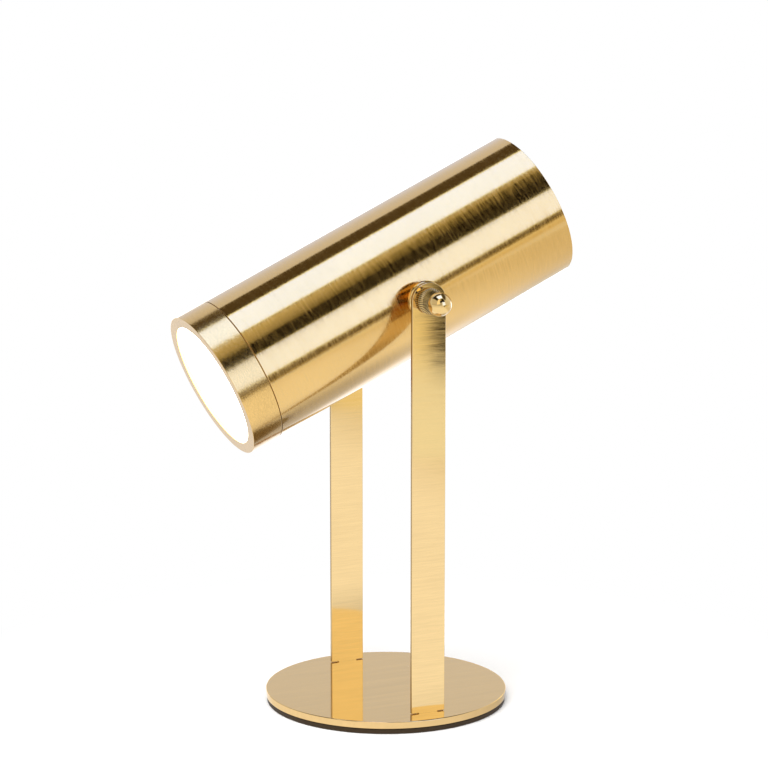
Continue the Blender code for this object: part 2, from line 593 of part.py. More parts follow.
def build_chassis(head, finishes):
    """Folded plate from the finned block to the rear cap, the power supply on it and the wires."""
    top = -CHASSIS_DROP
    bottom = top - CHASSIS_THICKNESS
    front_tab = top + 2 * CHASSIS_SCREW_HEIGHT
    rear_tab = CHASSIS_EAR_WIDTH / 2
    outline = [(bottom, CHASSIS_REAR), (bottom, CHASSIS_FRONT), (front_tab, CHASSIS_FRONT),
               (front_tab, CHASSIS_FRONT - CHASSIS_THICKNESS), (top, CHASSIS_FRONT - CHASSIS_THICKNESS),
               (top, CHASSIS_REAR + CHASSIS_THICKNESS), (rear_tab, CHASSIS_REAR + CHASSIS_THICKNESS),
               (rear_tab, CHASSIS_REAR)]
    sideways = (math.pi / 2, 0, 0)
    half = CHASSIS_WIDTH / 2
    chassis = prism("chassis_plate", outline, -half, half, head, finishes["zinc"], rotation=sideways)
    gap_half = half - CHASSIS_EAR_WIDTH
    window = bmesh.new()
    add_prism(window, box_outline((top + CHASSIS_THICKNESS, -gap_half), (rear_tab + CUT_OVERRUN, gap_half)),
              CHASSIS_REAR - CUT_OVERRUN, CHASSIS_REAR + CHASSIS_THICKNESS + CUT_OVERRUN)
    cut(chassis, make_object("ear_cutter", window, head, None))

    holes = bmesh.new()
    tab_screws = []
    for side in (-1, 1):
        spot = (top + CHASSIS_SCREW_HEIGHT, side * CHASSIS_SCREW_SPACING / 2)
        add_prism(holes, circle(CHASSIS_SCREW_SHANK_RADIUS + SEAT_GAP, SCREW_STEPS, spot),
                  CHASSIS_FRONT - CHASSIS_THICKNESS - CUT_OVERRUN, CHASSIS_FRONT + CUT_OVERRUN)
        seat = CHASSIS_FRONT - CHASSIS_THICKNESS - SEAT_GAP
        tab_screws.append(Matrix.Translation((*spot, seat)) @ Matrix.Rotation(math.pi, 4, 'X'))
        ear_spot = (0, side * CAP_SCREW_SPACING / 2)
        add_prism(holes, circle(CAP_SCREW_SHANK_RADIUS + SEAT_GAP, SCREW_STEPS, ear_spot),
                  CHASSIS_REAR - CUT_OVERRUN, CHASSIS_REAR + CHASSIS_THICKNESS + CUT_OVERRUN)
    cut(chassis, make_object("chassis_hole_cutter", holes, head, None))
    length = SEAT_GAP + CHASSIS_THICKNESS + SEAT_GAP + CHASSIS_SCREW_BITE
    outline = screw_outline(CHASSIS_SCREW_HEAD_RADIUS, CHASSIS_SCREW_HEAD_HEIGHT, CHASSIS_SCREW_SHANK_RADIUS,
                            length, countersunk=False)
    place_screws("chassis_screw", outline, tab_screws, head, finishes["steel"])
    build_driver(head, chassis, finishes)


def build_driver(head, chassis, finishes):
    """Power supply with a mounting ear at each end, its screws, and the wires to gland and board."""
    ear_top = DRIVER_BOTTOM + DRIVER_EAR_THICKNESS
    top = DRIVER_BOTTOM + DRIVER_HEIGHT
    body_rear = DRIVER_REAR + DRIVER_EAR_LENGTH
    body_front = DRIVER_FRONT - DRIVER_EAR_LENGTH
    outline = [(DRIVER_BOTTOM, DRIVER_REAR), (DRIVER_BOTTOM, DRIVER_FRONT), (ear_top, DRIVER_FRONT),
               (ear_top, body_front), (top, body_front), (top, body_rear), (ear_top, body_rear),
               (ear_top, DRIVER_REAR)]
    half = DRIVER_WIDTH / 2
    driver = prism("driver", outline, -half, half, head, finishes["plastic"], rotation=(math.pi / 2, 0, 0))
    round_edges(driver, DRIVER_EDGE_ROUND, ROUND_STEPS)
    spots = (DRIVER_REAR + DRIVER_EAR_LENGTH / 2, DRIVER_FRONT - DRIVER_EAR_LENGTH / 2)
    upwards = Matrix.Rotation(math.pi / 2, 4, 'Y')
    holes = bmesh.new()
    hole_bottom = -CHASSIS_DROP - CHASSIS_THICKNESS - CUT_OVERRUN
    for along in spots:
        add_prism(holes, circle(CHASSIS_SCREW_SHANK_RADIUS + SEAT_GAP, SCREW_STEPS), hole_bottom,
                  ear_top + CUT_OVERRUN, Matrix.Translation((0, 0, along)) @ upwards)
    cutter = make_object("driver_hole_cutter", holes, head, None)
    cut(driver, cutter)
    cut(chassis, cutter)
    seat = ear_top + SEAT_GAP
    length = seat + CHASSIS_DROP + CHASSIS_THICKNESS
    outline = screw_outline(CHASSIS_SCREW_HEAD_RADIUS, CHASSIS_SCREW_HEAD_HEIGHT, CHASSIS_SCREW_SHANK_RADIUS,
                            length, countersunk=False)
    places = [Matrix.Translation((seat, 0, along)) @ upwards for along in spots]
    place_screws("driver_screw", outline, places, head, finishes["steel"])

    lead_start = CAP_FRONT + GLAND_NUT_THICKNESS + GLAND_THREAD_TAIL - LEAD_TAIL
    build_wire("mains_lead", (0, lead_start), (DRIVER_MIDDLE, body_rear - SEAT_GAP), LEAD_RADIUS, LEAD_TAIL,
               SEAT_GAP, head, finishes["black"])
    build_wire("board_lead", (DRIVER_MIDDLE, body_front + SEAT_GAP), (WIRE_HEIGHT, BOARD_FRONT + WIRE_TAIL),
               WIRE_RADIUS, SEAT_GAP, BOARD_FRONT + WIRE_TAIL - SINK_BACK + WIRE_TAIL, head, finishes["red"])


def build_wire(name, start, end, radius, straight_start, straight_end, head, finish):
    """A round wire that eases from one height to the other between its straight ends."""
    curve_start = start[1] + straight_start
    curve_end = end[1] - straight_end
    count = max(2, int((curve_end - curve_start) / (WIRE_STEP_SHARE * 2 * radius)))
    points = [(start[0], start[1])]
    for step in range(count + 1):
        share = step / count
        ease = (1 - math.cos(math.pi * share)) / 2
        height = start[0] + (end[0] - start[0]) * ease
        points.append((height, curve_start + (curve_end - curve_start) * share))
    points.append((end[0], end[1]))
    curve = bpy.data.curves.new(name, 'CURVE')
    curve.dimensions = '3D'
    curve.bevel_depth = radius
    curve.bevel_resolution = WIRE_STEPS
    curve.use_fill_caps = True
    spline = curve.splines.new('POLY')
    spline.points.add(len(points) - 1)
    for target, (height, along) in zip(spline.points, points):
        target.co = Vector((height, 0, along)).to_4d()
    curve.materials.append(finish)
    wire = bpy.data.objects.new(name, curve)
    bpy.context.scene.collection.objects.link(wire)
    wire.parent = head


def build_rear_end(head, finishes):
    """Turned cap in the tube's counterbore, its screws and the gland that the cord would come through."""
    edge = CAP_EDGE_ROUND
    hole = GLAND_THREAD_RADIUS + SEAT_GAP
    outline = [(hole, CAP_REAR), (CAP_RADIUS - edge, CAP_REAR), (CAP_RADIUS, CAP_REAR + edge),
               (CAP_RADIUS, CAP_FRONT), (hole, CAP_FRONT)]
    cap = turned("rear_cap", outline, HEAD_STEPS, head, finishes["cap"])
    length = CAP_THICKNESS + SEAT_GAP + CHASSIS_THICKNESS + CAP_SCREW_TAIL
    backwards = Matrix.Rotation(math.pi, 4, 'X')
    sides = (-1, 1)
    places = [Matrix.Translation((0, side * CAP_SCREW_SPACING / 2, CAP_REAR)) @ backwards for side in sides]
    outline = screw_outline(CAP_SCREW_HEAD_RADIUS, CAP_SCREW_HEAD_HEIGHT, CAP_SCREW_SHANK_RADIUS, length,
                            countersunk=True)
    place_screws("cap_screw", outline, places, head, finishes["steel"])
    sink = countersink_outline(CAP_SCREW_HEAD_RADIUS, CAP_SCREW_HEAD_HEIGHT, CAP_SCREW_SHANK_RADIUS,
                               CAP_THICKNESS + CUT_OVERRUN)
    cut(cap, turned_cutter("cap_hole_cutter", sink, places, head))

    seat = CAP_REAR - SEAT_GAP
    flange_rear = seat - GLAND_FLANGE_THICKNESS
    mouth = flange_rear - GLAND_DOME_LENGTH
    inside_end = CAP_FRONT + SEAT_GAP + GLAND_NUT_THICKNESS + GLAND_THREAD_TAIL
    dome_steps = 2 * ROUND_STEPS
    dome = []
    for step in range(dome_steps + 1):
        turn = math.pi / 2 * step / dome_steps
        dome.append((GLAND_MOUTH_RADIUS + (GLAND_DOME_RADIUS - GLAND_MOUTH_RADIUS) * math.cos(turn),
                     flange_rear - GLAND_DOME_LENGTH * math.sin(turn)))
    outline = [(GLAND_BORE_RADIUS, inside_end), (GLAND_THREAD_RADIUS, inside_end),
               (GLAND_THREAD_RADIUS, seat), (GLAND_FLANGE_RADIUS, seat), (GLAND_FLANGE_RADIUS, flange_rear)]
    outline += dome + [(GLAND_BORE_RADIUS, mouth)]
    turned("cable_gland", outline, SMALL_STEPS, head, finishes["black"])
    hex_nut("gland_nut", GLAND_NUT_CORNER_RADIUS, hole, GLAND_NUT_THICKNESS, head, CAP_FRONT + SEAT_GAP,
            finishes["black"])


def hex_nut(name, corner_radius, hole_radius, thickness, parent, seat, finish):
    nut = prism(name, circle(corner_radius, HEX_SIDE_COUNT), 0, thickness, parent, finish, (0, 0, seat))
    bore = circle(hole_radius, SMALL_STEPS)
    cut(nut, prism(name + "_bore", bore, -CUT_OVERRUN, thickness + CUT_OVERRUN, parent, None, (0, 0, seat)))


def build_pivot(side, axis, finishes):
    """Stud, inner nut, spacer and clamp washer on one side of the tube. Z runs out along the pivot axis."""
    nut_inner = STUD_NUT_SEAT - STUD_NUT_THICKNESS
    hole = STUD_HOLE_RADIUS
    stud = round_outline(STUD_RADIUS, nut_inner - STUD_TAIL, STUD_END)
    turned("pivot_stud_" + side, stud, SMALL_STEPS, axis, finishes["steel"])
    hex_nut("stud_nut_" + side, STUD_NUT_CORNER_RADIUS, hole, STUD_NUT_THICKNESS, axis, nut_inner,
            finishes["steel"])
    boss = [(hole, BOSS_SEAT), (BOSS_RADIUS, BOSS_SEAT), (BOSS_RADIUS, BOSS_SEAT + BOSS_LENGTH),
            (hole, BOSS_SEAT + BOSS_LENGTH)]
    turned("pivot_boss_" + side, boss, SMALL_STEPS, axis, finishes["polished"])
    edge = WASHER_EDGE_ROUND
    washer_top = WASHER_SEAT + WASHER_THICKNESS
    outline = [(hole, WASHER_SEAT)]
    outline += arc((WASHER_RADIUS - edge, WASHER_SEAT + edge), edge, -90, 0, ROUND_STEPS)
    outline += arc((WASHER_RADIUS - edge, washer_top - edge), edge, 0, 90, ROUND_STEPS)
    outline += [(hole, washer_top)]
    turned("pivot_washer_" + side, outline, MIDDLE_STEPS, axis, finishes["polished"])


def knob_ring(maker, radius, height, count, tooth_depth=0):
    """A ring of points. Every second one drops by the tooth depth."""
    ring = []
    for number in range(count):
        turn = 2 * math.pi * number / count
        reach = radius - tooth_depth * (number % 2)
        ring.append(maker.verts.new((reach * math.cos(turn), reach * math.sin(turn), height)))
    return ring


def skin(maker, lower, upper):
    """Faces between two rings, where the second may have fewer points than the first."""
    count = len(lower)
    fewer = len(upper)
    for number in range(count):
        after = (number + 1) % count
        near = upper[number * fewer // count]
        far = upper[(number + 1) * fewer // count % fewer]
        corners = [lower[number], lower[after], far]
        if near is not far:
            corners.append(near)
        maker.faces.new(corners)


def build_knob(side, axis, finishes):
    """Clamp knob: toothed rim, toothed shoulder and neck, polished ball, and a blind bore for the stud."""
    flanks = 2 * KNOB_TOOTH_COUNT
    depth = KNOB_TOOTH_DEPTH
    neck_end = KNOB_RIM_LENGTH + KNOB_SHOULDER_LENGTH + KNOB_NECK_LENGTH
    neck_depth = depth * KNOB_NECK_RADIUS / KNOB_SHOULDER_RADIUS
    toothed = [(KNOB_RIM_RADIUS - KNOB_BACK_CHAMFER, 0, depth), (KNOB_RIM_RADIUS, KNOB_BACK_CHAMFER, depth),
               (KNOB_RIM_RADIUS, KNOB_RIM_LENGTH, depth),
               (KNOB_SHOULDER_RADIUS, KNOB_RIM_LENGTH + KNOB_SHOULDER_LENGTH, depth),
               (KNOB_NECK_RADIUS, neck_end, neck_depth)]
    knob = bmesh.new()
    rings = [knob_ring(knob, radius, height, flanks, drop) for radius, height, drop in toothed]
    start = math.asin((KNOB_NECK_RADIUS - neck_depth) / KNOB_BALL_RADIUS)
    centre = neck_end + KNOB_BALL_RADIUS * math.cos(start)
    for row in range(BALL_ROW_STEPS):
        turn = start + (math.pi - start) * row / BALL_ROW_STEPS
        height = centre - KNOB_BALL_RADIUS * math.cos(turn)
        rings.append(knob_ring(knob, KNOB_BALL_RADIUS * math.sin(turn), height, BALL_COLUMN_STEPS))
    for lower, upper in zip(rings, rings[1:]):
        skin(knob, lower, upper)
    close_ring(knob, rings[-1], centre + KNOB_BALL_RADIUS)
    mouth = knob_ring(knob, STUD_HOLE_RADIUS, 0, BALL_COLUMN_STEPS)
    floor = knob_ring(knob, STUD_HOLE_RADIUS, KNOB_BORE_DEPTH, BALL_COLUMN_STEPS)
    skin(knob, rings[0], mouth)
    skin(knob, mouth, floor)
    close_ring(knob, floor, KNOB_BORE_DEPTH)
    make_object("knob_" + side, knob, axis, finishes["polished"], (0, 0, KNOB_SEAT))


def close_ring(maker, ring, height):
    tip = maker.verts.new((0, 0, height))
    for number, point in enumerate(ring):
        maker.faces.new([point, ring[(number + 1) % len(ring)], tip])


def make_finishes():
    brass = (0.80, 0.58, 0.27)
    return {
        "rubber": material("black_rubber", (0.02, 0.02, 0.02), 0.8, 0.0),
        "disc": material("brushed_brass_disc", brass, 0.22, 1.0),
        "strip": material("brushed_brass_strip", (0.86, 0.64, 0.30), 0.28, 1.0),
        "tube": material("brushed_brass_tube", brass, 0.26, 1.0),
        "bezel": material("satin_brass_bezel", brass, 0.34, 1.0),
        "cap": material("satin_brass_cap", brass, 0.34, 1.0),
        "polished": material("polished_brass", (0.90, 0.68, 0.34), 0.08, 1.0),
        "steel": material("zinc_plated_steel", (0.66, 0.66, 0.64), 0.35, 1.0),
        "zinc": material("galvanised_plate", (0.60, 0.61, 0.62), 0.45, 1.0),
        "aluminium": material("anodised_aluminium", (0.70, 0.70, 0.71), 0.40, 1.0),
        "opal": material("opal_acrylic", (0.96, 0.96, 0.94), 0.35, 0.0),
        "white": material("white_plastic", (0.90, 0.90, 0.88), 0.5, 0.0),
        "board": material("white_board", (0.85, 0.86, 0.84), 0.5, 0.0),
        "plastic": material("driver_plastic", (0.88, 0.88, 0.86), 0.55, 0.0),
        "black": material("black_plastic", (0.03, 0.03, 0.03), 0.5, 0.0),
        "red": material("red_wire", (0.55, 0.05, 0.04), 0.5, 0.0),
    }


def main():
    clear_scene()
    finishes = make_finishes()
    build_base(finishes)
    build_upright("rear", 0, finishes)
    build_upright("front", math.pi, finishes)
    tilt = math.radians(-HEAD_TILT_DEG)
    pivot = make_axis("head_tilt_axis", None, (0, 0, PIVOT_HEIGHT), (0, tilt, 0))
    head = make_axis("head_frame", pivot, rotation=(0, -math.pi / 2, 0))
    build_tube(head, finishes)
    build_bezel(head, finishes)
    build_light_engine(head, finishes)
    build_chassis(head, finishes)
    build_rear_end(head, finishes)
    for side, turn in (("front", math.pi / 2), ("rear", -math.pi / 2)):
        axis = make_axis("knob_axis_" + side, pivot, rotation=(turn, 0, 0))
        build_pivot(side, axis, finishes)
        build_knob(side, axis, finishes)


main()
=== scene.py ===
"""Looks of the brass tabletop searchlight: finishes, fine meshes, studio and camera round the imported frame.

Metres, +Z up. The base's underside is the origin, the pivot axis runs along Y and the light points to -X.
Pieces of the head are modelled in the head's own frame: X is up, Y lies along the pivot axis and Z runs
along the tube to the light. Sizes are read from the frame, so the pieces follow the construction.
"""
import json
import math

import bmesh
import bpy
import numpy as np
from mathutils import Matrix, Vector


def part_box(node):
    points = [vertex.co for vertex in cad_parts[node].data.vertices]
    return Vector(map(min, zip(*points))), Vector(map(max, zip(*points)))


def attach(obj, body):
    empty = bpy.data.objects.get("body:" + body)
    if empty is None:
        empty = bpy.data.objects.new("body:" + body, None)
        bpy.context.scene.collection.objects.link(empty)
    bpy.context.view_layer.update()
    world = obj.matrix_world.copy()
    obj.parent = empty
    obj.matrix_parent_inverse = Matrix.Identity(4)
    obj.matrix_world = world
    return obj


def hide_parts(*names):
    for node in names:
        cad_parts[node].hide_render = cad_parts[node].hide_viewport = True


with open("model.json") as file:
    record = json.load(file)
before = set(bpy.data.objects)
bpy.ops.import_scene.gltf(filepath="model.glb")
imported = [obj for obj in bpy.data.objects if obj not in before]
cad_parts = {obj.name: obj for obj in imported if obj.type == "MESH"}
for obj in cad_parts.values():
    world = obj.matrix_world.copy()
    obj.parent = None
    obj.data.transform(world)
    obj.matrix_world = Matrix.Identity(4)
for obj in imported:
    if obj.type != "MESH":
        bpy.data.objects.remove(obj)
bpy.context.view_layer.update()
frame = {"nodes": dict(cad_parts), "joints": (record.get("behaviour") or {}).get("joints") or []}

# Camera, fitted to the photograph
LOOK_TARGET = (0.0, 0.0, 0.160)
CAMERA_DISTANCE = 1.517327
CAMERA_AZIMUTH_DEG = -24.595
CAMERA_ELEVATION_DEG = 11.438
LOOK_AZIMUTH_DEG = -24.557
LOOK_ELEVATION_DEG = 10.943
LENS_MM = 133.65
SENSOR_MM = 36.0

# Facets, edges and fits
LATHE_STEPS = 256
SMALL_STEPS = 96
ROUND_STEPS = 5
TOP_STEPS = 48
BEVEL_STEPS = 3
SMOOTH_ANGLE_DEG = 35.0
FLAT_FACE_COSINE = 0.5
MERGE_DISTANCE = 0.0000005
FINE_EDGE = 0.00012
SOFT_EDGE = 2 * FINE_EDGE
SEAM_EDGE = 3 * FINE_EDGE
SEAT_GAP = 0.0003

# Places and forms that the frame's boxes don't give
STRIP_THICKNESS = 0.002
SLOT_CLEARANCE = 0.00005
EDGES_ACROSS_DISC = 8
EDGES_ACROSS_PAD = 4
EDGES_ACROSS_WASHER = 4
GLAND_STEPS_TO_MOUTH = 3
CROSS_SLOTS_PER_RADIUS = 5
CROSS_REACH_SHARE = 0.62

# Knob: counts, shares of the rim's radius and length, and shares of the teeth's depth and width
KNOB_TOOTH_COUNT = 40
STEPS_PER_TOOTH = 8
TOOTH_ROUNDNESS = 1.4
RIM_ROWS = 7
BALL_ROWS = 40
DEPTHS_PER_RIM_RADIUS = 14
GROOVES_PER_RIM_LENGTH = 6
SHOULDER_SHARE = 0.82
CONE_SHARE = 0.9
WAIST_DEPTHS = 1.2
FOOT_TOOTH_SHARE = 0.6
WAIST_TOOTH_SHARE = 0.3
TOP_TOOTH_SHARE = 0.8
NECK_TOOTH_SHARE = 0.5
# Shares of each tooth, on the rim and on the cone, whose valley faces take the knob's painted shade
RIM_VALLEY_SHARE = 0.25
CONE_VALLEY_SHARE = 0.3


def node_points(node, place=Matrix.Identity(4)):
    """The corners of a CAD node, seen in a local frame, as rows of numbers."""
    to_local = place.inverted()
    return np.array([to_local @ point.co for point in frame["nodes"][node].data.vertices])


def frame_on(origin, third, first):
    """A local frame with its Z along the third direction and its X as near as can be to the first."""
    z = Vector(third).normalized()
    y = z.cross(Vector(first)).normalized()
    place = Matrix((y.cross(z), y, z)).transposed().to_4x4()
    place.translation = Vector(origin)
    return place


def find_head():
    """The head's own frame at rest: from the tilt joint, square to the diffuser's flat face."""
    joint = next(item for item in frame["joints"] if item["name"] == "head_tilt")
    pivot = Vector(joint["pos_m"])
    face = max(frame["nodes"]["diffuser"].data.polygons, key=lambda item: item.area)
    forwards = face.normal if face.normal.dot(face.center - pivot) > 0 else -face.normal
    return frame_on(pivot, (forwards.x, 0, forwards.z), (0, 0, 1))


HEAD = find_head()
PIVOT = HEAD.translation
PIVOT_FRONT = frame_on(PIVOT, (0, -1, 0), (0, 0, 1))
PIVOT_REAR = frame_on(PIVOT, (0, 1, 0), (0, 0, 1))


class Turned:
    """The sizes of a turned CAD node, read along its own axis."""

    def __init__(self, node, place):
        points = node_points(node, place)
        self.radii = np.hypot(points[:, 0], points[:, 1])
        self.heights = points[:, 2]
        self.low = float(self.heights.min())
        self.high = float(self.heights.max())
        self.radius = float(self.radii.max())

    def radius_at(self, height, widest):
        near = self.radii[np.abs(self.heights - height) < SEAT_GAP / 2]
        return float(near.max() if widest else near.min())


# Meshes

def rounded_outline(corners):
    """A closed (radius, height) outline from corners with a rounding each."""
    outline = []
    for number, (radius, height, rounding) in enumerate(corners):
        here = Vector((radius, height))
        if rounding == 0:
            outline.append(here)
            continue
        before = (Vector(corners[number - 1][:2]) - here).normalized()
        after = (Vector(corners[(number + 1) % len(corners)][:2]) - here).normalized()
        half = before.angle(after) / 2
        reach = rounding / math.tan(half)
        centre = here + (before + after).normalized() * rounding / math.sin(half)
        start = here + before * reach - centre
        end = here + after * reach - centre
        sweep = start.angle_signed(end)
        for step in range(ROUND_STEPS + 1):
            turn = -sweep * step / ROUND_STEPS
            outline.append(centre + Matrix.Rotation(turn, 2) @ start)
    return [(point.x, point.y) for point in outline]


def finish_mesh(name, maker, place, finishes, weighted=True):
    """Link a bmesh as an object at its place, shaded smooth with its flats kept flat."""
    bmesh.ops.remove_doubles(maker, verts=maker.verts, dist=MERGE_DISTANCE)
    bmesh.ops.recalc_face_normals(maker, faces=maker.faces)
    mesh = bpy.data.meshes.new(name)
    maker.to_mesh(mesh)
    maker.free()
    mesh.shade_smooth()
    mesh.set_sharp_from_angle(angle=math.radians(SMOOTH_ANGLE_DEG))
    for finish in finishes:
        mesh.materials.append(finish)
    obj = bpy.data.objects.new(name, mesh)
    obj.matrix_world = place
    bpy.context.scene.collection.objects.link(obj)
    if weighted:
        normals = obj.modifiers.new("flat_faces", 'WEIGHTED_NORMAL')
        normals.keep_sharp = True
    return obj


def add_lathe(maker, outline, steps, closed=True):
    """Revolve (radius, height) points about Z. A point on the axis becomes a single corner."""
    turns = [2 * math.pi * step / steps for step in range(steps)]
    rings = []
    for radius, height in outline:
        if radius == 0:
            rings.append([maker.verts.new((0, 0, height))] * steps)
        else:
            rings.append([maker.verts.new((radius * math.cos(turn), radius * math.sin(turn), height))
                          for turn in turns])
    pairs = list(zip(rings, rings[1:]))
    if closed:
        pairs.append((rings[-1], rings[0]))
    for lower, upper in pairs:
        bridge(maker, lower, upper)


def bridge(maker, lower, upper, valley=0.0):
    """Faces between two rings of as many corners, with triangles where a ring is one corner.

    Where the rings have teeth, the faces in each valley take the second finish, which on the knob is painted
    shade.
    A valley is a share of the tooth wide on each side of its floor.
    """
    count = len(lower)
    for number in range(count):
        after = (number + 1) % count
        corners = [lower[number], lower[after], upper[after], upper[number]]
        single = list(dict.fromkeys(corners))
        if len(single) > 2:
            face = maker.faces.new(single)
            step = number % STEPS_PER_TOOTH
            if min(step, STEPS_PER_TOOTH - 1 - step) < STEPS_PER_TOOTH * valley:
                face.material_index = 1


def lathe(name, corners, place, finish, steps=LATHE_STEPS, closed=True):
    maker = bmesh.new()
    add_lathe(maker, rounded_outline(corners), steps, closed)
    return finish_mesh(name, maker, place, [finish])


def apply_modifiers(obj):
    """Leave the mesh as its modifiers make it."""
    evaluated = obj.evaluated_get(bpy.context.evaluated_depsgraph_get())
    mesh = bpy.data.meshes.new_from_object(evaluated)
    obj.modifiers.clear()
    obj.data = mesh


def carve(obj, cutter_maker):
    """Cut a bmesh, made in the same local frame, out of an object."""
    bmesh.ops.recalc_face_normals(cutter_maker, faces=cutter_maker.faces)
    mesh = bpy.data.meshes.new("cutter")
    cutter_maker.to_mesh(mesh)
    cutter_maker.free()
    cutter = bpy.data.objects.new("cutter", mesh)
    cutter.matrix_world = obj.matrix_world
    bpy.context.scene.collection.objects.link(cutter)
    kept = [modifier.name for modifier in obj.modifiers]
    obj.modifiers.clear()
    boolean = obj.modifiers.new("cut", 'BOOLEAN')
    boolean.solver = 'EXACT'
    boolean.object = cutter
    bpy.context.view_layer.update()
    apply_modifiers(obj)
    bpy.data.objects.remove(cutter)
    obj.data.set_sharp_from_angle(angle=math.radians(SMOOTH_ANGLE_DEG))
    if kept:
        normals = obj.modifiers.new("flat_faces", 'WEIGHTED_NORMAL')
        normals.keep_sharp = True


def add_box(maker, low, high):
    """A box between two corners."""
    made = bmesh.ops.create_cube(maker, size=1)
    for point in made["verts"]:
        point.co = Vector([high[axis] if point.co[axis] > 0 else low[axis] for axis in range(3)])


def circle_arc(centre, radius, start_deg, end_deg, steps):
    turns = [math.radians(start_deg + (end_deg - start_deg) * step / steps) for step in range(steps + 1)]
    return [(centre[0] + radius * math.cos(turn), centre[1] + radius * math.sin(turn)) for turn in turns]


# Node trees

def add_node(tree, kind, settings=None, **inputs):
    """A shader node. Inputs are given by name with _ for a space: a socket is linked, a value is set."""
    node = tree.nodes.new("ShaderNode" + kind)
    for name, value in (settings or {}).items():
        setattr(node, name, value)
    for name, value in inputs.items():
        key = int(name[1:]) if name[0] == "i" and name[1:].isdigit() else name.replace("_", " ")
        socket = node.inputs[key]
        if isinstance(value, bpy.types.NodeSocket):
            tree.links.new(value, socket)
        else:
            socket.default_value = value
    return node


def maths(tree, operation, first, second=0.0, third=0.0, clamp=False):
    settings = {"operation": operation, "use_clamp": clamp}
    return add_node(tree, "Math", settings, i0=first, i1=second, i2=third).outputs[0]


def remap(tree, value, low, high, out_low, out_high, smooth=False):
    settings = {"interpolation_type": 'SMOOTHSTEP' if smooth else 'LINEAR', "clamp": True}
    node = add_node(tree, "MapRange", settings, Value=value, From_Min=low, From_Max=high, To_Min=out_low,
                    To_Max=out_high)
    return node.outputs[0]


def noise(tree, where, stretch, detail=2.0, roughness=0.55):
    """Noise with features of one over the stretch, in metres, along each axis."""
    mapped = add_node(tree, "Mapping", None, Vector=where, Scale=stretch).outputs[0]
    node = add_node(tree, "TexNoise", None, Vector=mapped, Scale=1.0, Detail=detail, Roughness=roughness)
    return node.outputs[0]


def mix_colour(tree, share, first, second):
    node = add_node(tree, "Mix", {"data_type": 'RGBA', "blend_type": 'MIX'}, i0=share, i6=first, i7=second)
    return node.outputs[2]


def new_material(name, colour, roughness, metallic, **fixed):
    """A material with its Principled shader. Fixed names are the shader's own sockets."""
    made = bpy.data.materials.new(name)
    made.use_nodes = True
    made.diffuse_color = (*colour, 1.0)
    tree = made.node_tree
    shader = tree.nodes["Principled BSDF"]
    shader.inputs["Base Color"].default_value = (*colour, 1.0)
    shader.inputs["Roughness"].default_value = roughness
    shader.inputs["Metallic"].default_value = metallic
    for key, value in fixed.items():
        shader.inputs[key.replace("_", " ")].default_value = value
    return made, tree, shader


def shade(colour, factor):
    return (*[min(1.0, part * factor) for part in colour], 1.0)


# Brass: the quarter turn of its brush lines, its lacquer, and how its noises are mixed and spread out
QUARTER_TURN = 0.25
LACQUER_IOR = 1.5
FINE_SHARE = 0.7
BROAD_SHARE = 0.3
CLOUD_SHARE = 0.25
LINES_SHARE = 0.75
LINES_SPAN = (0.38, 0.62)
CLOUD_STRETCH = (28.0, 28.0, 28.0)


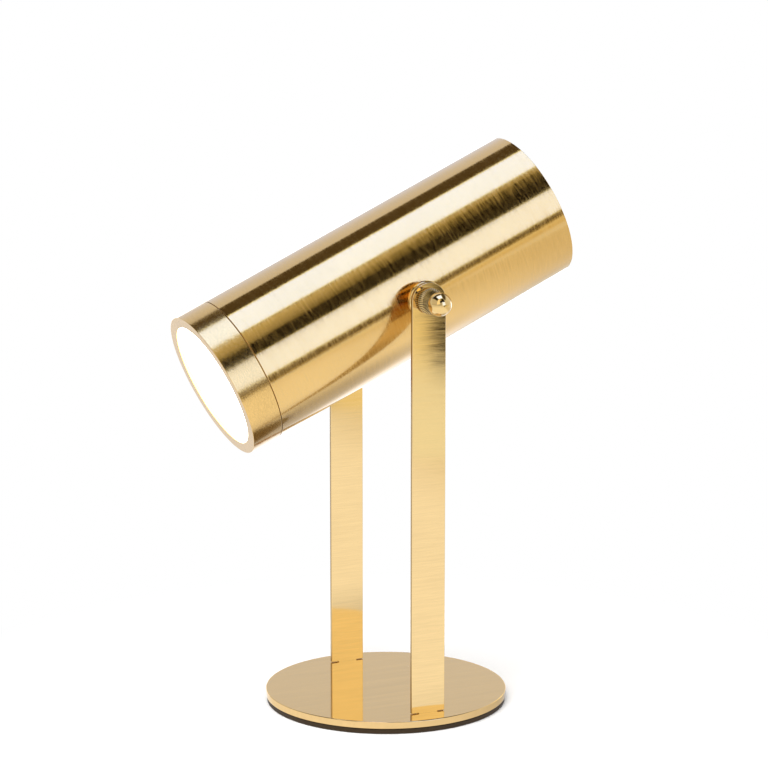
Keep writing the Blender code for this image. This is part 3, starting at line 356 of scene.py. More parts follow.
def brushed_brass(name, colour, grain, streak, roughness=(0.12, 0.26), grain_depth=0.000012, anisotropy=0.75,
                  tangent=None, coat=1.0, coat_roughness=0.05, tint_share=0.08, edge_tint=(1.0, 1.0, 1.0),
                  ragged=None, ragged_slope=0.0, about=None):
    """Lacquered brass with brush lines. Grain and streak are noise stretches, long along the brush lines.

    Ragged is the stretch of a third noise, which leans each line a little along the brush direction, so
    that the edges of what the metal reflects are frayed. About is the axis and centre of a turned face,
    whose lines are rings.
    """
    made, tree, shader = new_material(name, colour, sum(roughness) / 2, 1.0, Anisotropic=anisotropy,
                                      Anisotropic_Rotation=QUARTER_TURN, Coat_Weight=coat,
                                      Coat_Roughness=coat_roughness, Coat_IOR=LACQUER_IOR,
                                      Specular_Tint=(*edge_tint, 1.0))
    where = add_node(tree, "TexCoord").outputs["Object"]
    along = where
    if about is not None:
        offset = add_node(tree, "VectorMath", {"operation": 'SUBTRACT'}, i0=where, i1=about[1]).outputs[0]
        across = add_node(tree, "VectorMath", {"operation": 'CROSS_PRODUCT'}, i0=about[0], i1=offset)
        reach = add_node(tree, "VectorMath", {"operation": 'LENGTH'}, i0=across.outputs[0])
        along = add_node(tree, "CombineXYZ", None, X=reach.outputs["Value"]).outputs[0]
    fine = noise(tree, along, grain, detail=3.0, roughness=0.65)
    broad = noise(tree, along, streak, detail=2.0, roughness=0.6)
    cloud = noise(tree, where, CLOUD_STRETCH, detail=3.0, roughness=0.5)
    lines = maths(tree, 'MULTIPLY_ADD', fine, FINE_SHARE, maths(tree, 'MULTIPLY', broad, BROAD_SHARE))
    plain_lines = maths(tree, 'MULTIPLY', lines, LINES_SHARE)
    clouded = maths(tree, 'MULTIPLY_ADD', cloud, CLOUD_SHARE, plain_lines)
    tone = remap(tree, clouded, *LINES_SPAN, 0.0, 1.0)
    tinted = mix_colour(tree, tone, shade(colour, 1 - tint_share), shade(colour, 1 + tint_share))
    rough = remap(tree, lines, *LINES_SPAN, *roughness)
    tree.links.new(tinted, shader.inputs["Base Color"])
    tree.links.new(rough, shader.inputs["Roughness"])
    bump = add_node(tree, "Bump", None, Strength=1.0, Distance=grain_depth, Height=lines)
    tree.links.new(bump.outputs[0], shader.inputs["Normal"])
    if tangent is not None:
        brush = tangent(tree)
        tree.links.new(brush, shader.inputs["Tangent"])
        if ragged is not None:
            uneven = noise(tree, where, ragged, detail=2.0, roughness=0.6)
            lean = maths(tree, 'MULTIPLY_ADD', uneven, 2 * ragged_slope, -ragged_slope)
            flat = add_node(tree, "NewGeometry").outputs["Normal"]
            unit = add_node(tree, "VectorMath", {"operation": 'NORMALIZE'}, i0=brush).outputs[0]
            leant = add_node(tree, "VectorMath", {"operation": 'MULTIPLY_ADD'}, i0=unit, i2=flat)
            tree.links.new(lean, leant.inputs[1])
            square = add_node(tree, "VectorMath", {"operation": 'NORMALIZE'}, i0=leant.outputs[0])
            tree.links.new(square.outputs[0], bump.inputs["Normal"])
    return made


def turned_tangent(axis, centre):
    """Tangent round an axis, from the object's own coordinates, so that it turns with the piece."""
    def make(tree):
        where = add_node(tree, "TexCoord").outputs["Object"]
        offset = add_node(tree, "VectorMath", {"operation": 'SUBTRACT'}, i0=where, i1=centre).outputs[0]
        around = add_node(tree, "VectorMath", {"operation": 'CROSS_PRODUCT'}, i0=axis, i1=offset).outputs[0]
        return to_world(tree, around)
    return make


def straight_tangent(direction):
    """The same tangent everywhere, in the object's own coordinates."""
    def make(tree):
        return to_world(tree, direction)
    return make


def to_world(tree, direction):
    settings = {"vector_type": 'VECTOR', "convert_from": 'OBJECT', "convert_to": 'WORLD'}
    return add_node(tree, "VectorTransform", settings, Vector=direction).outputs[0]


# Plain finishes: how their noises are mixed and spread out
HALF_SHARE = 0.5
TONE_SPAN = (0.35, 0.65)
ROUGH_SPAN = (0.3, 0.7)
PLAIN_CLOUD_STRETCH = (45.0, 45.0, 45.0)


def plain_finish(name, colour, roughness, metallic, stretch, depth, rough_spread=0.08, tint_share=0.06,
                 **fixed):
    """A finish of one colour with fine uneven grain, such as moulded plastic, rubber or plated steel."""
    made, tree, shader = new_material(name, colour, roughness, metallic, **fixed)
    where = add_node(tree, "TexCoord").outputs["Object"]
    fine = noise(tree, where, (stretch, stretch, stretch), detail=4.0, roughness=0.6)
    cloud = noise(tree, where, PLAIN_CLOUD_STRETCH, detail=2.0, roughness=0.5)
    half_cloud = maths(tree, 'MULTIPLY', cloud, HALF_SHARE)
    tone = remap(tree, maths(tree, 'MULTIPLY_ADD', fine, HALF_SHARE, half_cloud), *TONE_SPAN, 0.0, 1.0)
    tinted = mix_colour(tree, tone, shade(colour, 1 - tint_share), shade(colour, 1 + tint_share))
    rough = remap(tree, fine, *ROUGH_SPAN, roughness - rough_spread, roughness + rough_spread)
    tree.links.new(tinted, shader.inputs["Base Color"])
    tree.links.new(rough, shader.inputs["Roughness"])
    bump = add_node(tree, "Bump", None, Strength=1.0, Distance=depth, Height=fine)
    tree.links.new(bump.outputs[0], shader.inputs["Normal"])
    return made


BRASS = (0.76, 0.49, 0.155)
DISC_BRASS = (0.785, 0.525, 0.205)
STRIP_BRASS = (0.83, 0.595, 0.262)
POLISHED_BRASS = (0.80, 0.55, 0.20)
GOLDEN_EDGE = (0.88, 0.73, 0.42)
# Edge tint of the knob's valleys, darkened as painted shade
PAINTED_SHADE_EDGE_TINT = (0.22, 0.17, 0.10)
CUT_EDGE_SHADE = 0.6
# Near-black brass of the knob's valleys: painted shade between the teeth
VALLEY_PAINTED_SHADE = 0.05


def make_finishes():
    round_head = turned_tangent((0, 0, 1), (0, 0, 0))
    finishes = {
        "tube": brushed_brass("brass_brushed_round", BRASS, (110.0, 110.0, 2800.0), (80.0, 80.0, 1900.0),
                              roughness=(0.06, 0.25), anisotropy=0.9, tangent=round_head,
                              tint_share=0.06, ragged=(130.0, 130.0, 2700.0), ragged_slope=0.020),
        "bezel": brushed_brass("brass_satin", BRASS, (500.0, 500.0, 3500.0), (900.0, 900.0, 1800.0),
                               roughness=(0.16, 0.24), anisotropy=0.3, tangent=round_head,
                               coat=0.7, coat_roughness=0.12, grain_depth=0.000004, tint_share=0.13,
                               ragged=(900.0, 900.0, 1900.0), ragged_slope=0.05),
        "cap": brushed_brass("brass_turned_cap", BRASS, (2400.0, 1.0, 1.0), (700.0, 1.0, 1.0),
                             roughness=(0.14, 0.24), anisotropy=0.7, coat_roughness=0.06,
                             grain_depth=0.000002, tint_share=0.05, about=(HEAD.col[2].xyz, PIVOT),
                             tangent=turned_tangent(HEAD.col[2].xyz, PIVOT)),
        "disc": brushed_brass("brass_brushed_disc", DISC_BRASS, (14.0, 420.0, 200.0), (8.0, 150.0, 100.0),
                              roughness=(0.04, 0.10), tangent=straight_tangent((1, 0, 0)),
                              grain_depth=0.0000006, tint_share=0.045, edge_tint=GOLDEN_EDGE),
        "strip": brushed_brass("brass_brushed_strip", STRIP_BRASS, (70.0, 400.0, 1500.0),
                               (30.0, 100.0, 700.0), roughness=(0.03, 0.07), grain_depth=0.0000016,
                               tangent=straight_tangent((1, 0, 0)), tint_share=0.05,
                               edge_tint=GOLDEN_EDGE, ragged=(45.0, 400.0, 2200.0),
                               ragged_slope=0.0022),
        "strip_edge": brushed_brass("brass_cut_edge", shade(BRASS, CUT_EDGE_SHADE)[:3],
                                    (900.0, 900.0, 2500.0), (400.0, 400.0, 900.0),
                                    roughness=(0.30, 0.42), anisotropy=0.0, coat=0.4, coat_roughness=0.2),
        "polished": brushed_brass("brass_polished", POLISHED_BRASS, (1500.0, 1500.0, 1500.0),
                                  (400.0, 400.0, 400.0), roughness=(0.04, 0.09), anisotropy=0.0,
                                  grain_depth=0.0000010, tint_share=0.03, coat_roughness=0.03),
        # The knob's valleys: painted shade between the teeth, as a near-black brass with a dark edge tint
        "groove": brushed_brass("brass_valley_painted_shade", shade(BRASS, VALLEY_PAINTED_SHADE)[:3], (1500.0, 1500.0, 1500.0),
                                (400.0, 400.0, 400.0), roughness=(0.30, 0.42), anisotropy=0.0,
                                grain_depth=0.000002, coat=0.05, coat_roughness=0.2,
                                edge_tint=PAINTED_SHADE_EDGE_TINT),
        "rubber": plain_finish("rubber_black", (0.026, 0.015, 0.006), roughness=0.62, metallic=0.0,
                               stretch=2500.0, depth=0.00004, Specular_Tint=(1.0, 0.78, 0.55, 1.0)),
        "steel": plain_finish("steel_zinc_plated", (0.62, 0.61, 0.57), roughness=0.30, metallic=1.0,
                              stretch=1400.0, depth=0.000006),
        "zinc": plain_finish("steel_galvanised", (0.58, 0.59, 0.60), roughness=0.42, metallic=1.0,
                             stretch=350.0, depth=0.00001, tint_share=0.14),
        "aluminium": plain_finish("aluminium_milled", (0.70, 0.70, 0.71), roughness=0.36, metallic=1.0,
                                  stretch=900.0, depth=0.00001),
        "white": plain_finish("plastic_white", (0.86, 0.86, 0.84), roughness=0.45, metallic=0.0,
                              stretch=1200.0, depth=0.00001),
        "driver": plain_finish("plastic_driver", (0.82, 0.82, 0.80), roughness=0.55, metallic=0.0,
                               stretch=1800.0, depth=0.00002),
        "black": plain_finish("plastic_black", (0.022, 0.022, 0.023), roughness=0.42, metallic=0.0,
                              stretch=1800.0, depth=0.00002),
        "red": plain_finish("wire_red", (0.50, 0.035, 0.03), roughness=0.45, metallic=0.0,
                            stretch=900.0, depth=0.00001),
        "opal": opal_finish(),
    }
    return finishes


# Diffuser: acrylic, and its light in the middle and at the edge
OPAL = (0.95, 0.94, 0.91)
OPAL_ROUGHNESS = 0.28
OPAL_ROUGHNESS_SPREAD = (0.22, 0.34)
OPAL_GRAIN_DEPTH = 0.000008
OPAL_CLOUD_STRETCH = (120.0, 120.0, 120.0)
OPAL_GRAIN_STRETCH = (2600.0, 2600.0, 2600.0)
GLOW_STRENGTH = 5.0
GLOW_MIDDLE = (1.0, 0.99, 0.96, 1.0)
GLOW_EDGE = (1.0, 0.90, 0.72, 1.0)
GLOW_EDGE_START = 0.75


def opal_finish():
    """Opal acrylic, lit from behind and a little warmer towards its edge."""
    made, tree, shader = new_material("acrylic_opal", OPAL, OPAL_ROUGHNESS, 0.0,
                                      Emission_Strength=GLOW_STRENGTH)
    where = add_node(tree, "TexCoord").outputs["Object"]
    cloud = noise(tree, where, OPAL_CLOUD_STRETCH, detail=3.0, roughness=0.5)
    fine = noise(tree, where, OPAL_GRAIN_STRETCH, detail=2.0, roughness=0.5)
    centre = HEAD @ Vector((0, 0, Turned("diffuser", HEAD).high))
    offset = add_node(tree, "VectorMath", {"operation": 'DISTANCE'}, i0=where, i1=centre).outputs["Value"]
    radius = Turned("diffuser", HEAD).radius
    edge = remap(tree, offset, radius * GLOW_EDGE_START, radius, 0.0, 1.0, smooth=True)
    colour = mix_colour(tree, edge, GLOW_MIDDLE, GLOW_EDGE)
    rough = remap(tree, cloud, *ROUGH_SPAN, *OPAL_ROUGHNESS_SPREAD)
    tree.links.new(colour, shader.inputs["Emission Color"])
    tree.links.new(rough, shader.inputs["Roughness"])
    bump = add_node(tree, "Bump", None, Strength=1.0, Distance=OPAL_GRAIN_DEPTH, Height=fine)
    tree.links.new(bump.outputs[0], shader.inputs["Normal"])
    return made


# Pieces of the head

def build_tube(finishes):
    tube = Turned("head_tube", HEAD)
    cap = Turned("rear_cap", HEAD)
    radius = tube.radius - FINE_EDGE / 2
    rear = tube.low + FINE_EDGE
    front = tube.high
    counterbore = tube.radius_at(tube.low, widest=False)
    bore = tube.radius_at(front, widest=False)
    shoulder = cap.high + SEAT_GAP
    corners = [(radius, front, FINE_EDGE), (radius, rear, SOFT_EDGE),
               (counterbore, rear, FINE_EDGE), (counterbore, shoulder, 0), (bore, shoulder, 0),
               (bore, front, FINE_EDGE)]
    piece = lathe("tube_shell", corners, HEAD, finishes["tube"])
    place_piece(piece, "head", "brass_tube", "head_tube")


def build_bezel(finishes):
    """Turned ring with a flat lip round the light and a spigot inside the tube."""
    ring = Turned("front_bezel", HEAD)
    radius = ring.radius - FINE_EDGE / 2
    front = ring.high - FINE_EDGE
    seam = Turned("head_tube", HEAD).high + SEAT_GAP
    aperture = ring.radius_at(ring.high, widest=False)
    lip_back = Turned("diffuser", HEAD).high + SEAT_GAP
    bore = ring.radius_at(ring.low, widest=False)
    spigot = ring.radius_at(ring.low, widest=True)
    corners = [(radius, seam, SEAM_EDGE), (spigot, seam, 0), (spigot, ring.low, FINE_EDGE),
               (bore, ring.low, 0), (bore, lip_back, 0), (aperture, lip_back, 0),
               (aperture, front, SOFT_EDGE), (radius, front, SOFT_EDGE)]
    piece = lathe("bezel_ring", corners, HEAD, finishes["bezel"])
    place_piece(piece, "head", "brass_satin", "front_bezel")


def build_gland(finishes):
    """Black gland: a flange against the cap and a round dome, open where a cord would come out."""
    backwards = frame_on(HEAD.translation, -HEAD.col[2].xyz, HEAD.col[0].xyz)
    gland = Turned("cable_gland", backwards)
    cap_face = -Turned("rear_cap", HEAD).low
    seat = cap_face + SEAT_GAP
    bore = float(gland.radii.min())
    thread = gland.radius_at(gland.low, widest=True)
    mouth = gland.radius_at(gland.high, widest=True)
    dome_start = float(gland.heights[gland.radii > gland.radius - SEAT_GAP / 2].max())
    dome = gland.radius_at(dome_start, widest=True) - (gland.radius - mouth) / GLAND_STEPS_TO_MOUTH
    corners = [(bore, gland.low, 0), (thread, gland.low, FINE_EDGE), (thread, seat, 0),
               (gland.radius, seat, FINE_EDGE), (gland.radius, dome_start, SOFT_EDGE),
               (dome, dome_start, FINE_EDGE)]
    length = gland.high - dome_start
    for step in range(1, ROUND_STEPS):
        turn = math.pi / 2 * step / ROUND_STEPS
        corners.append((mouth + (dome - mouth) * math.cos(turn), dome_start + length * math.sin(turn), 0))
    corners += [(mouth, gland.high, 0), (bore, gland.high, SOFT_EDGE)]
    piece = lathe("gland_body", corners, backwards, finishes["black"], SMALL_STEPS)
    place_piece(piece, "head", "black_plastic", "cable_gland")


def build_cap_screws(finishes):
    """Countersunk screws with a cross recess in the rear cap."""
    for number in (1, 2):
        node = f"cap_screw_{number}"
        points = node_points(node, HEAD)
        middle = (points.min(axis=0) + points.max(axis=0)) / 2
        rear = points[:, 2].min()
        seat = HEAD @ Vector((middle[0], middle[1], rear))
        place = frame_on(seat, -HEAD.col[2].xyz, HEAD.col[0].xyz + HEAD.col[1].xyz)
        screw = Turned(node, place)
        shank = screw.radius_at(screw.low, widest=True)
        head_height = screw.radius - shank
        corners = [(0, 0, 0), (screw.radius, 0, FINE_EDGE), (shank, -head_height, 0), (shank, screw.low, 0),
                   (0, screw.low, 0)]
        piece = lathe(f"cap_cross_screw_{number}", corners, place, finishes["steel"], SMALL_STEPS,
                      closed=False)
        slot_width = screw.radius / CROSS_SLOTS_PER_RADIUS
        slot_reach = screw.radius * CROSS_REACH_SHARE
        for half_x, half_y in ((slot_reach, slot_width / 2), (slot_width / 2, slot_reach)):
            cross = bmesh.new()
            add_box(cross, (-half_x, -half_y, -slot_reach / 2), (half_x, half_y, slot_width))
            carve(piece, cross)
        place_piece(piece, "head", "zinc_steel", node)


def build_pivots(finishes):
    """Spacer and clamp washer on each side of the tube."""
    for side, place in (("front", PIVOT_FRONT), ("rear", PIVOT_REAR)):
        boss = Turned("pivot_boss_" + side, place)
        hole = boss.radius_at(boss.low, widest=False)
        corners = [(hole, boss.low, 0), (boss.radius, boss.low, 0), (boss.radius, boss.high, 0),
                   (hole, boss.high, 0)]
        piece = lathe("spacer_" + side, corners, place, finishes["polished"], SMALL_STEPS)
        place_piece(piece, "head", "brass_polished", "pivot_boss_" + side)
        washer = Turned("pivot_washer_" + side, place)
        edge = (washer.high - washer.low) / EDGES_ACROSS_WASHER
        corners = [(hole, washer.low, 0), (washer.radius, washer.low, edge),
                   (washer.radius, washer.high, edge), (hole, washer.high, 0)]
        piece = lathe("clamp_washer_" + side, corners, place, finishes["polished"], SMALL_STEPS)
        place_piece(piece, "head", "brass_polished", "pivot_washer_" + side)


def place_piece(piece, body, slot, *nodes):
    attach(piece, body)
    if nodes:
        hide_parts(*nodes)


# Knobs

def tooth_ring(maker, radius, height, depth):
    """A ring with rounded teeth: the radius dips by the depth between one tooth and the next."""
    count = KNOB_TOOTH_COUNT * STEPS_PER_TOOTH
    ring = []
    for number in range(count):
        turn = 2 * math.pi * number / count
        dip = abs(math.sin(math.pi * number / STEPS_PER_TOOTH))
        reach = radius - depth * (1 - dip) ** TOOTH_ROUNDNESS
        ring.append(maker.verts.new((reach * math.cos(turn), reach * math.sin(turn), height)))
    return ring


def build_knob(side, place, finishes):
    """Toothed rim in two rows, toothed cone and neck with their valleys in painted shade, and a polished ball
    on a blind bore.
    """
    knob = Turned("knob_" + side, place)
    low = knob.low
    rim = knob.radius
    heights = knob.heights
    upper_half = heights > (knob.low + knob.high) / 2
    ball = float(knob.radii[upper_half].max())
    centre = knob.high - ball
    rim_length = float(heights[knob.radii > rim - SEAT_GAP / 2].max()) - low
    neck_zone = (heights > low + rim_length) & (heights < centre)
    neck = float(knob.radii[neck_zone].min())
    neck_end = float(heights[neck_zone][knob.radii[neck_zone].argmin()])
    hole = knob.radius_at(low, widest=False)
    depth = rim / DEPTHS_PER_RIM_RADIUS
    groove = rim_length / GROOVES_PER_RIM_LENGTH
    waist = rim - WAIST_DEPTHS * depth
    shoulder = rim * SHOULDER_SHARE
    toothed = [(rim - depth, 0, depth * FOOT_TOOTH_SHARE), (rim, groove, depth),
               (rim, rim_length / 2 - groove / 2, depth), (waist, rim_length / 2, depth * WAIST_TOOTH_SHARE),
               (rim, rim_length / 2 + groove / 2, depth), (rim, rim_length - groove, depth),
               (rim - depth, rim_length, depth * TOP_TOOTH_SHARE), (shoulder, rim_length + groove, depth),
               (shoulder * CONE_SHARE, rim_length + 2 * groove, depth)]
    maker = bmesh.new()
    rings = [tooth_ring(maker, radius, low + height, dip) for radius, height, dip in toothed]
    rings.append(tooth_ring(maker, neck, neck_end, depth * NECK_TOOTH_SHARE))
    start = math.asin(min(1.0, neck / ball))
    for row in range(1, BALL_ROWS):
        turn = start + (math.pi - start) * row / BALL_ROWS
        rings.append(tooth_ring(maker, ball * math.sin(turn), centre - ball * math.cos(turn), 0))
    tip = maker.verts.new((0, 0, centre + ball))
    rings.append([tip] * len(rings[0]))
    mouth = tooth_ring(maker, hole, low, 0)
    floor = tooth_ring(maker, hole, low + rim_length, 0)
    bottom = maker.verts.new((0, 0, low + rim_length))
    for number, (lower, upper) in enumerate(zip(rings, rings[1:])):
        valley = RIM_VALLEY_SHARE if number < RIM_ROWS else CONE_VALLEY_SHARE
        bridge(maker, lower, upper, valley if number < len(toothed) else 0.0)
    bridge(maker, mouth, rings[0])
    bridge(maker, floor, mouth)
    bridge(maker, [bottom] * len(floor), floor)
    knob_finishes = [finishes["polished"], finishes["groove"]]
    piece = finish_mesh("ball_knob_" + side, maker, place, knob_finishes, weighted=False)
    place_piece(piece, "knob_" + side, "brass_polished", "knob_" + side)


# Base

def build_disc(finishes):
    disc = Turned("base_disc", Matrix.Identity(4))
    edge = (disc.high - disc.low) / EDGES_ACROSS_DISC
    corners = [(0, disc.high, 0), (disc.radius, disc.high, edge), (disc.radius, disc.low, edge),
               (0, disc.low, 0)]
    piece = lathe("base_plate", corners, Matrix.Identity(4), finishes["disc"], closed=False)
    slots = bmesh.new()
    for side in ("front", "rear"):
        near, far = strip_faces(side)
        half = tongue_half_width(side) + SLOT_CLEARANCE
        add_box(slots, (-half, near - SLOT_CLEARANCE, disc.low - edge),
                (half, far + SLOT_CLEARANCE, disc.high + edge))
    carve(piece, slots)
    place_piece(piece, "base", "brass_disc", "base_disc")

    pad = Turned("base_pad", Matrix.Identity(4))
    pad_edge = (pad.high - pad.low) / EDGES_ACROSS_PAD
    corners = [(0, pad.high, 0), (pad.radius, pad.high, pad_edge / 2), (pad.radius, pad.low, pad_edge),
               (0, pad.low, 0)]
    piece = lathe("rubber_pad", corners, Matrix.Identity(4), finishes["rubber"], closed=False)
    place_piece(piece, "base", "black_rubber", "base_pad")


def strip_faces(side):
    """The nearer and the farther face of an upright's strip, along Y. Its feet are bent inwards."""
    low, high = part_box("upright_" + side)
    outer = low.y if side == "front" else high.y
    inner = outer + STRIP_THICKNESS if side == "front" else outer - STRIP_THICKNESS
    return sorted((outer, inner))


def tongue_half_width(side):
    """Half the width of the upright's tongue, from its corners inside the disc."""
    points = node_points("upright_" + side)
    disc = Turned("base_disc", Matrix.Identity(4))
    middle = (disc.low + disc.high) / 2
    inside = np.abs(points[:, 2] - middle) < (disc.high - disc.low) / 2
    return float(np.abs(points[inside, 0]).max())


def build_upright(side, finishes):
    """Flat strip with a round top and a tongue that goes down through the disc's slot."""
    low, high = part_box("upright_" + side)
    half = (high.x - low.x) / 2
    disc = Turned("base_disc", Matrix.Identity(4))
    shoulder = disc.high + SEAT_GAP
    half_tongue = tongue_half_width(side)
    near, far = strip_faces(side)
    outline = circle_arc((0, PIVOT.z), half, 0, 180, TOP_STEPS)
    outline += [(-half, shoulder), (-half_tongue, shoulder), (-half_tongue, low.z), (half_tongue, low.z),
                (half_tongue, shoulder), (half, shoulder)]
    maker = bmesh.new()
    face = maker.faces.new([maker.verts.new((x, near, z)) for x, z in outline])
    moved = bmesh.ops.extrude_face_region(maker, geom=[face], use_keep_orig=True)["geom"]
    bmesh.ops.translate(maker, vec=(0, far - near, 0),
                        verts=[item for item in moved if isinstance(item, bmesh.types.BMVert)])
    bmesh.ops.recalc_face_normals(maker, faces=maker.faces)
    maker.faces.ensure_lookup_table()
    for item in maker.faces:
        item.material_index = 0 if abs(item.normal.y) > FLAT_FACE_COSINE else 1
    strip_finishes = [finishes["strip"], finishes["strip_edge"]]
    piece = finish_mesh("strip_" + side, maker, Matrix.Identity(4), strip_finishes, weighted=False)
    bevel = piece.modifiers.new("edges", 'BEVEL')
    bevel.width = SOFT_EDGE
    bevel.segments = BEVEL_STEPS
    bevel.limit_method = 'ANGLE'
    bevel.angle_limit = math.radians(SMOOTH_ANGLE_DEG)
    bevel.harden_normals = False
    bevel.material = 0
    normals = piece.modifiers.new("flat_faces", 'WEIGHTED_NORMAL')
    normals.keep_sharp = True
    place_piece(piece, "base", "brass_strip", "upright_" + side)


NODE_FINISHES = {
    "foot_screw": "steel", "diffuser": "opal", "diffuser_clip": "steel", "reflector": "white",
    "led_board": "white", "board_screw": "steel", "heat_sink": "aluminium", "chassis_plate": "zinc",
    "chassis_screw": "steel", "driver": "driver", "driver_screw": "steel", "mains_lead": "black",
    "board_lead": "red", "rear_cap": "cap", "gland_nut": "black", "pivot_stud": "steel", "stud_nut": "steel",
}


def dress_nodes(finishes):
    """Give each CAD node that still shows its finish."""
    for name, obj in frame["nodes"].items():
        if obj.hide_render:
            continue
        key = max((start for start in NODE_FINISHES if name.startswith(start)), key=len)
        obj.data.materials.clear()
        obj.data.materials.append(finishes[NODE_FINISHES[key]])


# Studio

def build_camera():
    def direction(azimuth_deg, elevation_deg):
        azimuth = math.radians(azimuth_deg)
        elevation = math.radians(elevation_deg)
        return Vector((math.sin(azimuth) * math.cos(elevation), -math.cos(azimuth) * math.cos(elevation),
                       math.sin(elevation)))
    data = bpy.data.cameras.new("camera")
    data.lens = LENS_MM
    data.sensor_width = SENSOR_MM
    camera = bpy.data.objects.new("camera", data)
    camera.location = (Vector(LOOK_TARGET)
                       + CAMERA_DISTANCE * direction(CAMERA_AZIMUTH_DEG, CAMERA_ELEVATION_DEG))
    back = direction(LOOK_AZIMUTH_DEG, LOOK_ELEVATION_DEG)
    camera.rotation_euler = (-back).to_track_quat('-Z', 'Y').to_euler()
    bpy.context.scene.collection.objects.link(camera)
    bpy.context.scene.camera = camera


# What the metal reflects over the room and the table: each panel lies across one axis, within two ranges
# of slopes from it, with a soft border. A panel has one colour, or that and one for the first reflection.
PANELS = [
    ("right", "x", ("y", -0.8, 1.3), ("z", -0.10, 0.95), 0.20, (0.88, 0.89, 0.92), None),
    ("left", "-x", ("y", -1.2, 0.5), ("z", 0.05, 1.0), 0.20, (0.70, 0.68, 0.66), None),
    ("ahead", "-y", ("x", 0.5, 4.0), ("z", -0.10, 1.3), 0.05, (0.80, 0.80, 0.80), None),
    ("behind", "y", ("x", -0.25, 3.0), ("z", -0.5, 1.32), 0.05, (0.77, 0.795, 0.90), None),
    ("behind_left", "y", ("x", -4.0, -0.25), ("z", -0.5, 1.2), 0.10, (0.74, 0.75, 0.78), None),
    ("back_right", "y", ("x", 1.2, 3.0), ("z", 0.3, 1.32), 0.10, (1.45, 1.45, 1.2), None),
    ("behind_low", "y", ("x", -0.25, 3.0), ("z", -0.5, 0.15), 0.05, (2.3, 2.4, 2.6), None),
    ("gap", "y", ("x", -1.2, 0.6), ("z", 1.32, 6.0), 0.05, (0.095, 0.070, 0.036), None),
    ("high_left", "-x", ("y", -1.5, 1.5), ("z", 1.05, 8.0), 0.10, (0.030, 0.024, 0.016), None),
    ("high_right", "x", ("y", -1.2, 1.4), ("z", 1.15, 5.0), 0.15, (0.10, 0.085, 0.06), None),
    ("dark", "-y", ("x", -0.62, 0.60), ("z", 0.50, 4.0), 0.05, (0.020, 0.016, 0.010), None),
    ("overhead_fade", "-y", ("x", -0.5, 0.5), ("z", 1.75, 3.0), 0.10, (0.33, 0.30, 0.20), None),
    ("overhead_rim", "z", ("x", -0.43, 0.27), ("y", -0.43, 0.255), 0.015, (1.25, 1.35, 0.95), None),
    ("overhead", "z", ("x", -0.40, 0.24), ("y", -0.40, 0.225), 0.02, (1.7, 1.6, 1.05),
     (1.32, 1.82, 4.0)),
    ("glow", "-y", ("x", -0.45, -0.08), ("z", 1.02, 2.1), 0.05, (0.62, 0.56, 0.34), None),
    ("reflector", "-y", ("x", -1.3, -0.45), ("z", 0.20, 2.1), 0.10, (1.3, 1.2, 1.0), None),
    ("table_edge", "-y", ("x", 0.24, 0.9), ("z", -0.30, -0.03), 0.02, (0.17, 0.13, 0.08), None),
    ("front_rim", "-y", ("x", 0.0, 0.60), ("z", -0.045, 0.585), 0.012, (1.1, 1.15, 0.75), None),
    ("front", "-y", ("x", 0.02, 0.58), ("z", -0.02, 0.565), 0.012, (1.26, 1.38, 1.45),
     (1.30, 1.66, 3.1)),
    ("table_far", "-y", ("x", 0.54, 3.0), ("z", -0.40, -0.12), 0.012, (0.84, 0.72, 0.46), None),
    ("table_near", "-y", ("x", 0.43, 0.56), ("z", -0.40, -0.168), 0.008, (0.60, 0.48, 0.28),
     (1.02, 0.90, 0.56)),
    ("table_rear", "-y", ("x", 0.427, 0.458), ("z", -0.40, -0.235), 0.010, (1.12, 1.19, 1.35), None),
    ("table_front", "-y", ("x", 0.458, 0.54), ("z", -0.40, -0.205), 0.007, (1.05, 1.07, 1.00), None),
    ("table_dark", "-y", ("x", 0.4772, 0.56), ("z", -0.2075, -0.12), 0.004, (0.05, 0.036, 0.012), None),
]
LEAST_FACING = 0.001

# The world behind the panels, and how far below the horizon the table and the floor start
ROOM = (0.55, 0.56, 0.59, 1.0)
MATT_ROOM = (0.70, 0.70, 0.70, 1.0)
WHITE = (1.0, 1.0, 1.0, 1.0)
TABLE_FIRST = (0.92, 0.92, 0.95, 1.0)
TABLE_DEEPER = (0.38, 0.37, 0.34, 1.0)
TABLE_START = (0.0, 0.08)
FLOOR_START = (0.26, 0.31)
FLOOR_LEVEL = 0.98
FIRST_REFLECTION = 1.5

# Table top: ranges of distance from the lamp's middle or along X and Y, and the light at their ends. The
# shadow and levels that the metal mirrors are painted
TABLE_RADIUS = 0.7
TABLE_STEPS = 64
TABLE_WHITES = ((0.95, 0.95, 0.95, 1.0), (0.97, 0.97, 0.97, 1.0))
TABLE_STRETCH = (300.0, 300.0, 300.0)
FADE_REACH = (0.10, 0.26)
# Painted shadow beside the lamp's base, which the metal mirrors
SHADOW_PLACE = (0.085, 0.03, 0.0)
SHADOW_REACH = (0.04, 0.17)
SHADOW_LEVEL = 0.55
BEHIND_RANGE = (0.08, 0.20)
MIDDLE_RANGE = (-0.05, 0.08)
MIDDLE_LEVELS = (0.80, 1.12)
RIGHT_RANGE = (0.20, 0.36)
RIGHT_LEVEL = 0.82
DEEPER_REFLECTIONS = (1.5, 2.5)
DEEPER_LEVEL = 0.55
TABLE_TONE = (1.12, 1.12, 1.16, 1.0)
RIGHT_TONE = (0.86, 0.80, 0.68, 1.0)

# Softboxes: name, place, what each one faces, size and power
SOFTBOXES = [
    ("softbox_top", (-0.5, -0.3, 1.7), (0, 0, 0.1), (1.4, 1.4), 26.0),
    ("softbox_front", (-0.9, -1.3, 0.9), (0, 0, 0.15), (1.0, 1.0), 10.0),
]


